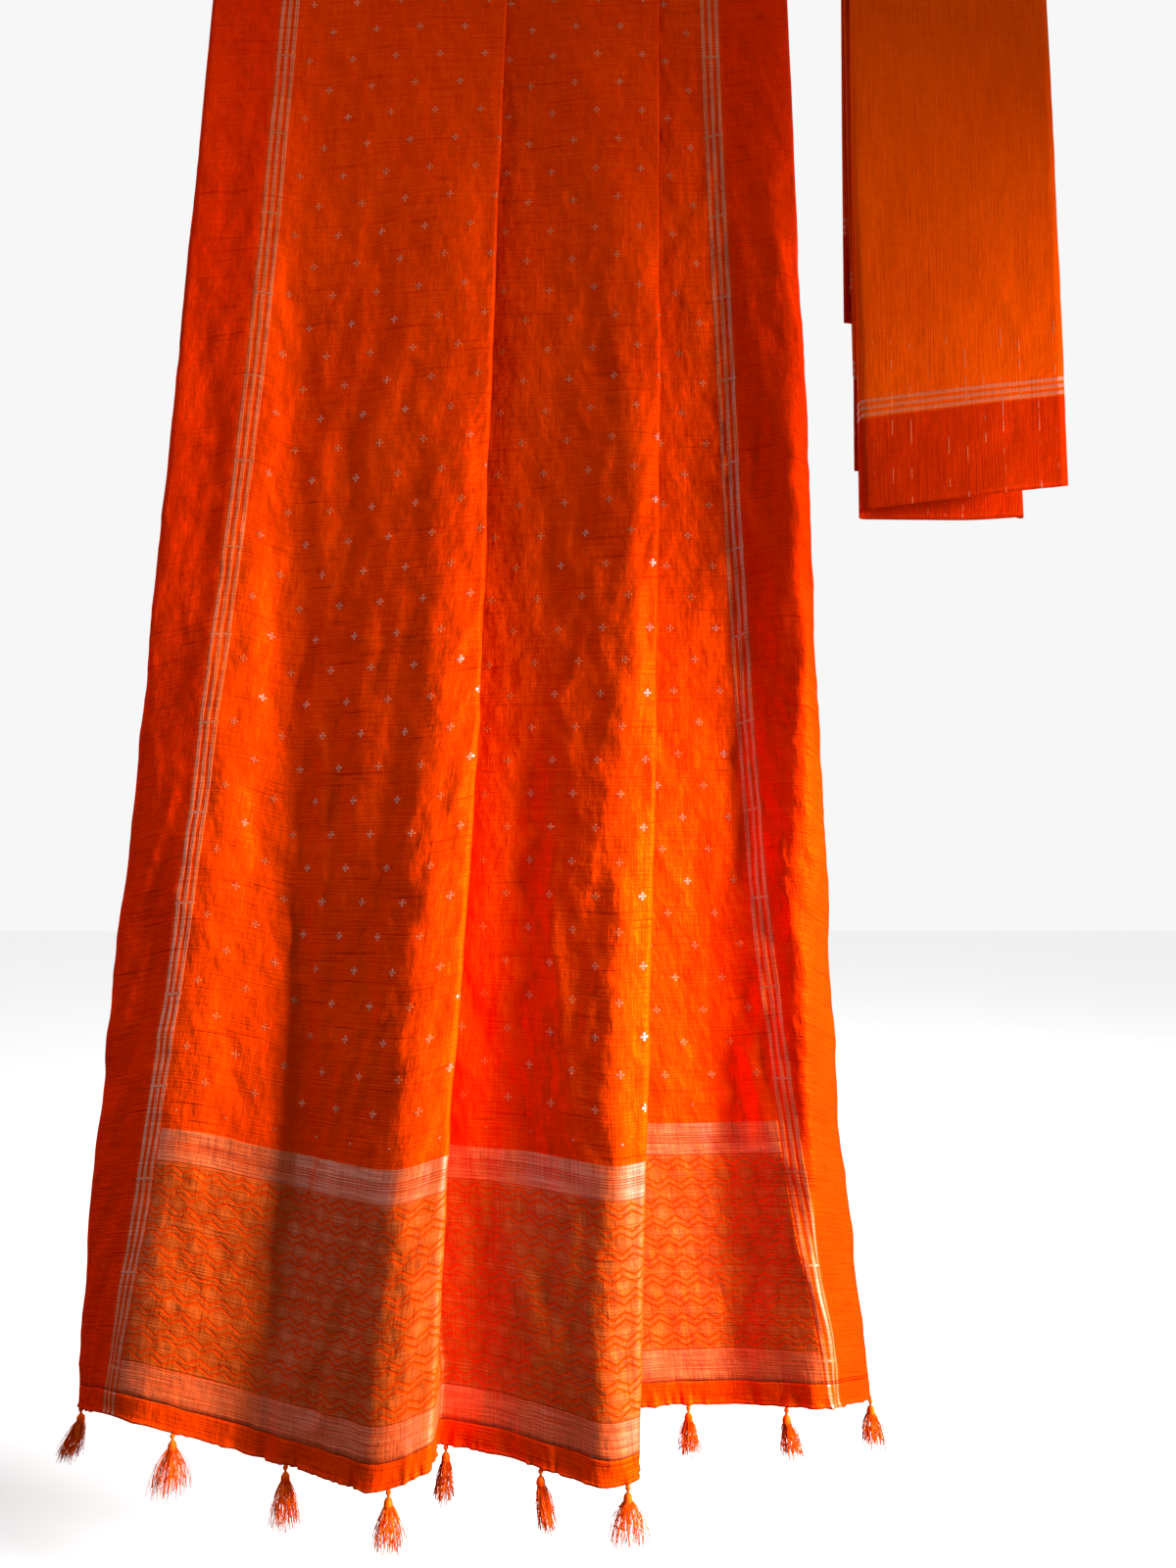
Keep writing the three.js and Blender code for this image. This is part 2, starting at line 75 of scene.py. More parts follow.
class Wire:
    """One output of a tree of shader nodes, which can be used as a value in Python expressions."""

    def __init__(self, tree, socket=None):
        self.tree = tree
        self.socket = socket

    def add(self, kind, settings=None, inputs=None, output=0):
        node = self.tree.nodes.new(kind)
        for name, value in (settings or {}).items():
            setattr(node, name, value)
        for name, value in (inputs or {}).items():
            if isinstance(value, Wire):
                self.tree.links.new(value.socket, node.inputs[name])
            else:
                node.inputs[name].default_value = value
        return Wire(self.tree, node.outputs[output])

    def maths(self, operation, *values):
        return self.add("ShaderNodeMath", {"operation": operation}, dict(enumerate(values)))

    def __add__(self, other):
        return self.maths("ADD", self, other)

    def __radd__(self, other):
        return self.maths("ADD", other, self)

    def __sub__(self, other):
        return self.maths("SUBTRACT", self, other)

    def __rsub__(self, other):
        return self.maths("SUBTRACT", other, self)

    def __mul__(self, other):
        return self.maths("MULTIPLY", self, other)

    def __rmul__(self, other):
        return self.maths("MULTIPLY", other, self)

    def __truediv__(self, other):
        return self.maths("DIVIDE", self, other)

    def __mod__(self, other):
        return self.maths("FLOORED_MODULO", self, other)

    def __abs__(self):
        return self.maths("ABSOLUTE", self)

    def floor(self):
        return self.maths("FLOOR", self)

    def least(self, other):
        return self.maths("MINIMUM", self, other)

    def most(self, other):
        return self.maths("MAXIMUM", self, other)

    def across_from(self, other):
        """Length of the line whose two sides are these values."""
        return self.maths("SQRT", self * self + other * other)

    def rise(self, low, high):
        """0 up to low, 1 from high on, and a soft step between."""
        settings = {"interpolation_type": "SMOOTHSTEP"}
        return self.add("ShaderNodeMapRange", settings, {"Value": self, "From Min": low, "From Max": high})

    def stripe(self, centre, width, soft=0.0004):
        """1 in a stripe of that width, with soft edges."""
        return 1 - abs(self - centre).rise(width / 2 - soft, width / 2 + soft)

    def between(self, low, high, soft=0.001):
        """1 from low to high, with soft edges inside them."""
        return self.rise(low, low + soft) * (1 - self.rise(high - soft, high))

    def blend(self, first, second):
        """first where this value is 0 and second where it is 1, both colours."""
        return self.add("ShaderNodeMix", {"data_type": "RGBA"}, {0: self, 6: first, 7: second}, 2)

    def split(self):
        """x, y and z of this value."""
        return [self.add("ShaderNodeSeparateXYZ", None, {0: self}, axis) for axis in "XYZ"]

    def noise(self, place, scale, detail=2.0):
        return self.add("ShaderNodeTexNoise", None, {"Vector": place, "Scale": scale, "Detail": detail})

    def specks(self, x, y, z=0.0, detail=2.0):
        """Noise about 1 across in each of these values."""
        place = self.add("ShaderNodeCombineXYZ", None, {"X": x, "Y": y, "Z": z})
        return self.noise(place, 1.0, detail)

    def end_material(self):
        end = self.tree.nodes.new("ShaderNodeOutputMaterial")
        self.tree.links.new(self.socket, end.inputs["Surface"])


def start_material(name):
    """A new material with an empty tree, and a wire to start its expressions from."""
    material = bpy.data.materials.new(name)
    material.use_nodes = True
    material.node_tree.nodes.clear()
    return material, Wire(material.node_tree)


def paint(material, constants, bump=None, **inputs):
    """Ends a material: its varying inputs, the shader's constants and a bump of (height, depth)."""
    start = Wire(material.node_tree)
    if bump:
        height, depth = bump
        inputs["Normal"] = start.add("ShaderNodeBump", None, {"Height": height, "Distance": depth})
    every = {**constants, **{name.replace("_", " "): value for name, value in inputs.items()}}
    shader = start.add("ShaderNodeBsdfPrincipled", None, every)
    shader.end_material()
    return material


def add_stage(name, corners, material):
    """A flat four-sided sheet beside the object."""
    mesh = bpy.data.meshes.new(name)
    mesh.from_pydata(corners, [], [(0, 1, 2, 3)])
    mesh.materials.append(material)
    sheet = bpy.data.objects.new(name, mesh)
    bpy.context.collection.objects.link(sheet)
    return sheet


def dark_material(name, holes):
    """Dark on its front, clear from behind, and letting that share of the light through."""
    material, start = start_material(name)
    behind = start.add("ShaderNodeNewGeometry", None, None, "Backfacing")
    dark = start.add("ShaderNodeBsdfPrincipled", None, DARK_PAINT)
    clear = start.add("ShaderNodeBsdfTransparent")
    start.add("ShaderNodeMixShader", None, {0: behind.most(holes), 1: dark, 2: clear}).end_material()
    return material


floor_paint = paint(start_material("floor_paint")[0], FLOOR_PAINT)
floor_signs = [(-1, -1), (1, -1), (1, 1), (-1, 1)]
floor_corners = [(x * FLOOR_HALF, y * FLOOR_HALF, FLOOR_HEIGHT) for x, y in floor_signs]
add_stage("floor", floor_corners, floor_paint)

dark_cloth_paint = dark_material("dark_cloth", 0.0)
gauze_paint = dark_material("gauze", GAUZE_HOLES)
for name, corners in DARK_CLOTHS.items():
    dark_cloth = add_stage(name, corners, gauze_paint if name.startswith("gauze") else dark_cloth_paint)
    dark_cloth.visible_camera = False

key_data = bpy.data.lights.new("key_light", "AREA")
key_data.size = KEY_SIZE
key_data.energy = KEY_POWER
key = bpy.data.objects.new("key_light", key_data)
key_across = math.radians(KEY_AZIMUTH)
key_up = math.radians(KEY_HEIGHT)
key.location = (
    KEY_AIM[0] + KEY_DISTANCE * math.sin(key_across) * math.cos(key_up),
    KEY_AIM[1] - KEY_DISTANCE * math.cos(key_across) * math.cos(key_up),
    KEY_AIM[2] + KEY_DISTANCE * math.sin(key_up),
)
key.rotation_euler = (math.radians(90) - key_up, 0, key_across)
key.visible_camera = False
bpy.context.collection.objects.link(key)

world = bpy.data.worlds.new("room")
world.use_nodes = True
bpy.context.scene.world = world
bpy.context.scene.view_settings.view_transform = "Standard"
world.node_tree.nodes["Background"].inputs["Color"].default_value = (1, 1, 1, 1)
world.node_tree.nodes["Background"].inputs["Strength"].default_value = ROOM_LIGHT

# Rod
# A plain turned hardwood rod, 25 mm across and 1.14 m long, with softly rounded ends and a satin
# varnish. The cloth hangs over it and it is carried near its two bare ends.
MM = 0.001
ROD_RADIUS = 12.5 * MM
ROD_HALF = 570 * MM
ROD_SIDES = 72
ROD_END_ROUND = 1.5 * MM
WOOD_PALE = (0.56, 0.35, 0.17, 1)
WOOD_DARK = (0.33, 0.17, 0.07, 1)


def add_piece(name, vertices, faces, material, slot, cloth_places=None):
    """A smooth mesh in the row frame that rides on the only body."""
    mesh = bpy.data.meshes.new(name)
    if isinstance(faces, np.ndarray):
        faces = faces.tolist()
    mesh.from_pydata(np.asarray(vertices).tolist(), [], faces)
    if cloth_places is not None:
        corner_points = np.zeros(len(mesh.loops), dtype=np.int32)
        mesh.loops.foreach_get("vertex_index", corner_points)
        layer = mesh.uv_layers.new(name="cloth")
        layer.data.foreach_set("uv", np.asarray(cloth_places)[corner_points].astype(np.float32).ravel())
    mesh.shade_smooth()
    mesh.materials.append(material)
    piece = bpy.data.objects.new(name, mesh)
    bpy.context.collection.objects.link(piece)
    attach(piece, "root")
    return piece


def round_angles(sides):
    return [2 * math.pi * k / sides for k in range(sides)]


def tube_mesh(rings):
    """Vertices and faces of a closed tube through rings of equally many points."""
    count, sides = len(rings), len(rings[0])
    vertices = [point for ring in rings for point in ring]
    faces = [
        (r * sides + k, r * sides + (k + 1) % sides, (r + 1) * sides + (k + 1) % sides, (r + 1) * sides + k)
        for r in range(count - 1)
        for k in range(sides)
    ]
    first, last, end = len(vertices), len(vertices) + 1, (count - 1) * sides
    vertices += [np.mean(rings[0], axis=0), np.mean(rings[-1], axis=0)]
    faces += [(first, (k + 1) % sides, k) for k in range(sides)]
    faces += [(last, end + k, end + (k + 1) % sides) for k in range(sides)]
    return vertices, faces


def join_meshes(parts):
    """Several (vertices, faces) as one."""
    vertices, faces = [], []
    for some_vertices, some_faces in parts:
        base = len(vertices)
        vertices.extend(some_vertices)
        faces.extend(tuple(base + i for i in face) for face in some_faces)
    return vertices, faces


rod_profile = []
for degrees in range(90, -1, -15):
    turn = math.radians(degrees)
    rod_profile.append((
        -ROD_HALF + ROD_END_ROUND * (1 - math.sin(turn)),
        ROD_RADIUS - ROD_END_ROUND * (1 - math.cos(turn)),
    ))
rod_profile += [(-x, radius) for x, radius in reversed(rod_profile)]
rod_rings = [
    [(x, radius * math.cos(a), radius * math.sin(a)) for a in round_angles(ROD_SIDES)]
    for x, radius in rod_profile
]

wood, start = start_material("varnished_wood")
place = start.add("ShaderNodeTexCoord", None, None, "Object")
place_x, place_y, place_z = place.split()
fibres = start.specks(place_x * 6, place_y * 260, place_z * 260, detail=4.0)
figure = start.specks(place_x * 1.6, place_y * 40, place_z * 40, detail=3.0)
pores = start.specks(place_x * 45, place_y * 900, place_z * 900).rise(0.62, 0.75)
grain = (fibres * 0.55 + figure * 0.45 + pores * 0.25).rise(0.3, 0.75)
paint(
    wood,
    {"Coat Weight": 0.35, "Coat Roughness": 0.22},
    bump=(fibres * 0.6 - pores, 0.0002),
    Base_Color=grain.blend(WOOD_PALE, WOOD_DARK),
    Roughness=grain * 0.15 + 0.38,
)
rod = add_piece("turned_rod", *tube_mesh(rod_rings), wood, "rod_wood")
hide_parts("rod")

# Front silk
# The end of the saree that shows: handloom silk 1.15 m wide, hung 1.68 m down from the rod in two
# knife pleats. Metal thread makes the borders, the sprigs and the broad panel at the foot. It is
# woven in one piece, and only its foot is hemmed.
CLOTH_WIDTH = 1.150
SILK_THICKNESS = 0.0005
FRONT_DROP = 1.682
HEM_STRIP = 0.026              # plain strip between the panel and the hem's edge
REST = 17.5                    # depth of the cloth on the rod, in mm from the rod's axis
PLY = 3                        # mm, a layer of the pleats with the air in it
RAISED = REST + 2 * PLY        # depth of a pleat's top layer on the rod
DROPS = [0, 500, 950, 1350, 1682]
# Places across the cloth in mm: x and depth at the drops above, and the drop of the hem there.
# A brow is the highest line of a pleat and lies so far before its edge.
FRONT = {
    "selvedge_left": {"x": [-495, -523, -564, -603, -633], "depth": [REST, 32, 12, -8, -36], "hem": 1688},
    "border_left": {"x": [-408, -426, -464, -506, -555], "depth": [REST, 42, 50, 54, 54], "hem": 1654},
    "trough_left": {"x": [-368, -390, -393, -371, -412], "depth": [REST, 29, 29, 37, 48], "hem": 1697},
    "brow_one": {"before": [126, 40, 46, 52, 52], "depth": [RAISED, 70, 102, 116, 127], "hem": 1696},
    "crest_one": {"x": [-149, -163, -173, -198, -212], "depth": [RAISED, 62, 94, 108, 118], "hem": 1678},
    "valley_one": {"depth": [REST, 27, 31, 39, 54], "hem": 1683},
    "panel_middle": {"depth": [REST, 44, 61, 68, 80], "hem": 1682},
    "brow_two": {"before": [126, 36, 36, 34, 32], "depth": [RAISED, 66, 98, 118, 132], "hem": 1688},
    "crest_two": {"x": [28, 25, 17, 5, -5], "depth": [RAISED, 58, 88, 108, 122], "hem": 1685},
    "valley_two": {"depth": [REST, 28, 27, 22, 16], "hem": 1664},
    "trough_right": {"x": [70, 88, 112, 100, 99], "depth": [REST, 22, 20, 14, 8], "hem": 1663},
    "border_right": {"x": [85, 104, 135, 160, 189], "depth": [REST, 26, 36, 50, 50], "hem": 1650},
    "ridge_right": {"x": [150, 168, 182, 180, 203], "depth": [REST, 54, 62, 60, 50], "hem": 1650},
    "selvedge_right": {"x": [179, 188, 201, 224, 263], "depth": [REST, 44, 42, 6, -36], "hem": 1678},
}
FRONT_TURN = [PLY, 7, 10, 12, 14]    # depth of the cloth's turn at a pleat's edge
PANEL_BEND = 0.42              # share of the way from pleat to pleat where the middle stretch bends
LOOSE_LENGTH = 0.42            # from the rod down to where the silk hangs loose
OVER_ROD = 0.055               # length of the saree that lies over the rod


def along(levels, values, place):
    """Values at places down the cloth, on a smooth curve through a row of a table."""
    levels, values = np.asarray(levels, float), np.asarray(values, float)
    last = len(levels) - 1
    above, below = np.maximum(np.arange(last + 1) - 1, 0), np.minimum(np.arange(last + 1) + 1, last)
    slope = (values[below] - values[above]) / (levels[below] - levels[above])
    i = np.clip(np.searchsorted(levels, place) - 1, 0, last - 1)
    span = levels[i + 1] - levels[i]
    t = (place - levels[i]) / span
    rise = values[i + 1] - values[i]
    bend_in = slope[i] * span - rise
    bend_out = rise - slope[i + 1] * span
    return values[i] + t * rise + t * (1 - t) * ((1 - t) * bend_in + t * bend_out)


def cross_lines(corners):
    """Lines across the cloth through its corners, each corner rounded, for all rows at once.

    A corner holds arrays with a value for each row. The result has for each row and point: x,
    depth, hem, freedom to crumple, and the direction along the line in x and depth.
    """
    spots = [np.stack([c["x"], c["depth"], c["hem"], c["free"]], axis=-1) for c in corners]
    lengths, ways = [], []
    for a, b in zip(spots, spots[1:]):
        length = np.hypot(b[:, 0] - a[:, 0], b[:, 1] - a[:, 1])
        lengths.append(length)
        ways.append((b - a) / length[:, None])
    last = len(corners) - 1
    reach = [np.zeros(len(spots[0]))]
    for i in range(1, last):
        room_left = 0.45 * np.minimum(lengths[i - 1], lengths[i])
        reach.append(np.minimum(corners[i]["round"], room_left))
    reach.append(np.zeros(len(spots[0])))
    points = [np.hstack([spots[0], ways[0][:, :2]])]
    for i in range(last):
        start_at, end_at = reach[i], lengths[i] - reach[i + 1]
        for k in range(1, corners[i]["cuts"] + 1):
            s = start_at + (end_at - start_at) * k / corners[i]["cuts"]
            points.append(np.hstack([spots[i] + ways[i] * s[:, None], ways[i][:, :2]]))
        if i + 1 == last:
            break
        for k in range(1, corners[i + 1]["steps"] + 1):
            t = k / corners[i + 1]["steps"]
            r = reach[i + 1][:, None]
            spot = spots[i + 1] - ways[i] * r * (1 - t) ** 2 + ways[i + 1] * r * t ** 2
            points.append(np.hstack([spot, (ways[i] * (1 - t) + ways[i + 1] * t)[:, :2]]))
    return np.stack(points, axis=1)


def distance_across(lines):
    """How far along its line each point lies."""
    steps = np.hypot(np.diff(lines[..., 0]), np.diff(lines[..., 1]))
    return np.concatenate([np.zeros((len(lines), 1)), np.cumsum(steps, axis=1)], axis=1)


def fit_tuck(make_corners, rows, width):
    """Sizes of a tuck, one for each row, with which the cloth is as wide as it was woven."""
    low, high = np.full(rows, 0.5), np.full(rows, 200.0)
    for _ in range(30):
        middle = (low + high) / 2
        narrow = distance_across(cross_lines(make_corners(middle)))[:, -1] < width
        low, high = np.where(narrow, middle, low), np.where(narrow, high, middle)
    return (low + high) / 2


def saree_corners(table, levels, turns, drops, fine, foot):
    """Corners of the outer cloth for rows at those drops, as a function of the tuck."""
    turn = along(levels, turns, drops)

    def corner(name, x=None, depth=0.0, bend=40, steps=3, cuts=8, free=1.0):
        row = table[name]
        return {
            "x": along(levels, row["x"], drops) if x is None else x,
            "depth": along(levels, row["depth"], drops) + depth,
            "hem": np.full(len(drops), float(row.get("hem", foot))),
            "free": np.full(len(drops), free),
            "round": bend,
            "steps": steps,
            "cuts": cuts * fine,
        }

    def pleat(number, tuck, cuts_on, cuts_after):
        edge = along(levels, table[f"crest_{number}"]["x"], drops)
        inner = edge - tuck
        brow = along(levels, table[f"brow_{number}"]["before"], drops)
        return [
            corner(f"brow_{number}", edge - brow, bend=40, steps=4, cuts=cuts_on),
            corner(f"crest_{number}", bend=turn, cuts=1, free=0.7),
            corner(f"crest_{number}", depth=-turn, bend=turn, cuts=13, free=0.25),
            corner(f"valley_{number}", inner, depth=turn, bend=turn, cuts=1, free=0.1),
            corner(f"valley_{number}", inner, bend=turn, cuts=cuts_after, free=0.25),
        ]

    def corners(tuck):
        one = pleat("one", tuck, 6, 15)
        two = pleat("two", tuck, 5, 15)
        middle = one[1]["x"] + PANEL_BEND * (two[0]["x"] - one[1]["x"])
        return [
            corner("selvedge_left", cuts=12),
            corner("border_left", bend=70, steps=6, cuts=4),
            corner("trough_left", bend=16, cuts=20),
            *one,
            corner("panel_middle", middle, bend=22, cuts=11),
            *two,
            corner("trough_right", bend=22, cuts=5),
            corner("border_right", bend=20, cuts=7),
            corner("ridge_right", bend=22, steps=4, cuts=4),
            corner("selvedge_right"),
        ]

    return corners


def soft_noise(u, v, size_u, size_v, seed, slant=0.0):
    """Smooth bumps between -1 and 1, of that size across and down the cloth."""
    grid = np.random.RandomState(seed).uniform(-1, 1, (96, 96))
    a, b = (u + slant * v) / size_u + 40, v / size_v + 40
    i, j = np.floor(a).astype(int), np.floor(b).astype(int)
    s, t = a - i, b - j
    s, t = s * s * s * (s * (6 * s - 15) + 10), t * t * t * (t * (6 * t - 15) + 10)
    i, j = i % 95, j % 95
    near = grid[i, j] * (1 - s) + grid[i + 1, j] * s
    far = grid[i, j + 1] * (1 - s) + grid[i + 1, j + 1] * s
    return near * (1 - t) + far * t


# Main creases: from (u, v) to (u, v) in m, half width and height in mm
CREASES = [
    (0.145, 0.72, 0.200, 0.50, 16, -3.0),
    (0.160, 1.30, 0.185, 0.95, 15, 2.2),
    (0.215, 1.42, 0.235, 0.80, 18, -2.6),
    (0.270, 1.20, 0.262, 0.62, 14, 2.0),
    (0.300, 0.95, 0.330, 0.42, 20, -2.4),
    (0.235, 0.62, 0.262, 0.33, 13, 1.9),
    (0.345, 1.48, 0.350, 1.02, 15, -2.0),
    (0.040, 1.30, 0.075, 0.98, 14, -2.6),
    (0.030, 1.05, 0.020, 0.60, 17, 2.4),
    (0.060, 0.70, 0.045, 0.30, 15, -2.0),
    (0.120, 0.42, 0.180, 0.335, 12, 2.4),
    (0.125, 0.56, 0.175, 0.47, 10, -2.0),
    (0.545, 1.25, 0.560, 0.70, 16, -2.2),
    (0.585, 1.45, 0.600, 0.96, 14, 2.2),
    (0.620, 0.90, 0.575, 0.44, 18, 2.8),
    (0.560, 0.52, 0.610, 0.34, 13, -2.4),
    (0.600, 0.34, 0.640, 0.06, 24, 4.0),
    (0.560, 0.26, 0.575, 0.03, 20, -3.6),
    (0.655, 1.30, 0.650, 0.72, 13, -1.8),
    (0.900, 1.48, 0.965, 1.16, 13, -2.8),
    (0.965, 1.36, 0.905, 1.12, 12, 2.4),
    (0.925, 1.18, 0.985, 0.96, 13, -2.6),
    (0.990, 1.05, 0.930, 0.80, 12, 2.6),
    (0.940, 0.86, 1.000, 0.62, 12, -2.2),
    (1.030, 0.98, 0.965, 0.74, 10, 1.8),
    (1.000, 0.62, 0.968, 0.48, 10, -2.2),
    (1.085, 1.40, 1.070, 0.80, 12, 1.6),
    (1.120, 0.70, 1.095, 0.40, 10, -2.0),
    (1.135, 0.37, 1.105, 0.31, 9, 2.6),
    (1.100, 0.28, 1.125, 0.05, 13, 2.6),
    (1.060, 0.22, 1.085, 0.05, 12, -2.4),
    (0.030, 0.695, 0.100, 0.690, 4, -0.7),
    (0.270, 0.668, 0.370, 0.676, 4, -0.7),
    (0.450, 2.20, 0.440, 2.75, 18, 2.4),
    (0.200, 2.05, 0.230, 2.60, 20, -2.8),
    (0.300, 2.35, 0.270, 2.95, 16, 2.4),
    (0.120, 2.15, 0.150, 2.80, 18, 2.0),
    (0.560, 2.00, 0.600, 2.50, 16, -2.4),
    (0.610, 2.40, 0.580, 2.95, 18, 2.6),
    (0.950, 2.05, 1.000, 2.55, 14, -2.4),
    (0.930, 2.45, 0.970, 2.90, 16, 2.2),
    (1.070, 2.20, 1.050, 2.80, 14, -1.8),
]


def creases(table, u, v, wander=0.0):
    """Height in mm of the creases in a table, each a soft ridge that fades towards its two ends."""
    total = np.zeros_like(u)
    for u0, v0, u1, v1, width, height in table:
        length = math.hypot(u1 - u0, v1 - v0)
        share = ((u - u0) * (u1 - u0) + (v - v0) * (v1 - v0)) / length ** 2
        aside = ((u - u0) * (v1 - v0) - (v - v0) * (u1 - u0)) / length / (width * MM)
        total += height * np.exp(-(aside + wander) ** 2) * np.clip(1 - (2 * share - 1) ** 2, 0, 1)
    return total


def crumples(u, v, size_u, size_v, seed, slant=0.0):
    """Sharp little ridges between -1 and 1, of that size across and down the cloth."""
    return 1 - 2 * np.abs(soft_noise(u, v, size_u, size_v, seed, slant))


def relief(u, v):
    """How far the silk stands off its plain form, in mm, at (u, v) in m."""
    down = np.clip((FRONT_DROP - v) / LOOSE_LENGTH, 0.0, 1.0)
    behind = np.clip((v - FRONT_DROP - OVER_ROD) / LOOSE_LENGTH, 0.0, 1.0)
    loose = 0.12 + 0.88 * np.maximum(down, behind * 0.8) ** 1.2
    total = creases(CREASES, u, v, 0.6 * soft_noise(u, v, 0.09, 0.11, 3))
    total += 1.9 * soft_noise(u, v, 0.085, 0.34, 5)
    total += 2.1 * crumples(u, v, 0.042, 0.17, 7, 0.12)
    total += 1.6 * crumples(u, v, 0.026, 0.075, 9, -0.22)
    stiff_panel = 0.45 + 0.55 * np.clip((v - 0.27) / 0.08, 0.0, 1.0)
    total += stiff_panel * 0.75 * crumples(u, v, 0.017, 0.034, 11, 0.5)
    return total * loose


def on_front(x, depth, hem, drop):
    return np.stack([x * MM, -depth * MM, -drop * hem / (FRONT_DROP / MM)], axis=-1)


def over_rod(x, depth, angle):
    x, depth, angle = np.broadcast_arrays(x, depth, angle)
    return np.stack([x * MM, -depth * MM * np.cos(angle), depth * MM * np.sin(angle)], axis=-1)


def cloth_shell(face, reverse, places):
    """Closed body between two grids of points, with the cloth places of its points."""
    rows, columns = face.shape[:2]
    vertices = np.concatenate([face.reshape(-1, 3), reverse.reshape(-1, 3)])
    one = np.arange(rows * columns).reshape(rows, columns)
    two = one + rows * columns

    def quads(a, b, c, d):
        return np.stack([a.ravel(), b.ravel(), c.ravel(), d.ravel()], axis=-1)

    faces = np.concatenate([
        quads(one[:-1, :-1], one[1:, :-1], one[1:, 1:], one[:-1, 1:]),
        quads(two[:-1, :-1], two[:-1, 1:], two[1:, 1:], two[1:, :-1]),
        quads(one[:-1, 0], two[:-1, 0], two[1:, 0], one[1:, 0]),
        quads(one[:-1, -1], one[1:, -1], two[1:, -1], two[:-1, -1]),
        quads(one[0, :-1], one[0, 1:], two[0, 1:], two[0, :-1]),
        quads(one[-1, :-1], two[-1, :-1], two[-1, 1:], one[-1, 1:]),
    ])
    return vertices, faces, np.concatenate([places.reshape(-1, 2)] * 2)


def join_places(*stretches):
    """Cloth places of several stretches of rows as one grid, each stretch given as its u and its v."""
    return np.concatenate([np.stack(np.broadcast_arrays(u, v), axis=-1) for u, v in stretches])


def add_cloth(name, grids, places, material, slot):
    vertices, faces, places = cloth_shell(*grids, places)
    return add_piece(name, vertices, faces, material, slot, places)


def both_faces(lines, thickness, shift):
    """x and depth of the cloth's two faces, for lines across it shifted along their normals."""
    way = lines[..., 4:6] / np.linalg.norm(lines[..., 4:6], axis=-1, keepdims=True)
    normal = np.stack([-way[..., 1], way[..., 0]], axis=-1)
    faces = []
    for side in (0.5, -0.5):
        face = lines[..., :2] + normal * (shift + side * thickness / MM)[..., None]
        faces.append((face[..., 0], face[..., 1]))
    return faces


# Colours of the silk and its metal thread
SILK_BRIGHT = (0.83, 0.056, 0.0004, 1)
SILK_DEEP = (0.67, 0.025, 0.0003, 1)
EDGE_BRIGHT = (0.82, 0.034, 0.0004, 1)
EDGE_DEEP = (0.66, 0.017, 0.0003, 1)
ZARI_BRIGHT = (0.78, 0.150, 0.022, 1)
ZARI_DEEP = (0.46, 0.056, 0.003, 1)
TISSUE_BRIGHT = (0.56, 0.080, 0.002, 1)
TISSUE_DEEP = (0.42, 0.043, 0.001, 1)
# How bare silk and the metal thread woven into it take the light
SILK_SHINE = {"Metallic": 0.22, "Specular IOR Level": 0.0, "Specular Tint": (1.0, 0.22, 0.02, 1)}
METAL_SHINE = {"Coat Roughness": 0.42, "Coat IOR": 2.4, "Coat Tint": (1.0, 0.94, 0.88, 1)}
# Sizes of the woven pattern, in m
BORDER_CENTRE = 0.0925         # from the selvedge to the middle one of the border's three lines
BORDER_STEP = 0.0081
BORDER_LINE = 0.0043
TICK_STEP = 0.100
TICK_LENGTH = 0.0225
SPRIG_ACROSS = 0.026
SPRIG_DOWN = 0.072
SPRIG_REACH = 0.0029           # from the sprig's middle to the middle of each petal
SPRIG_PETAL = 0.0014           # half a petal's width
BAND_LOW = (0.026, 0.061)
BAND_HIGH = (0.272, 0.307)
BAND_MIDDLE = (0.2895, 0.0105)    # centre and height of the ribs in the upper band
RIB_STEP = 0.0027
ZIGZAG_ROWS = 0.0211
ZIGZAG_WAVE = 0.0250
ZIGZAG_HEIGHT = 0.0036
PANEL_SIDE = 0.105             # the panel ends so far from the selvedges


def border_lines(from_border):
    """The border's three lines of metal thread."""
    return from_border.stripe(0.0, BORDER_LINE).most(abs(from_border).stripe(BORDER_STEP, BORDER_LINE))


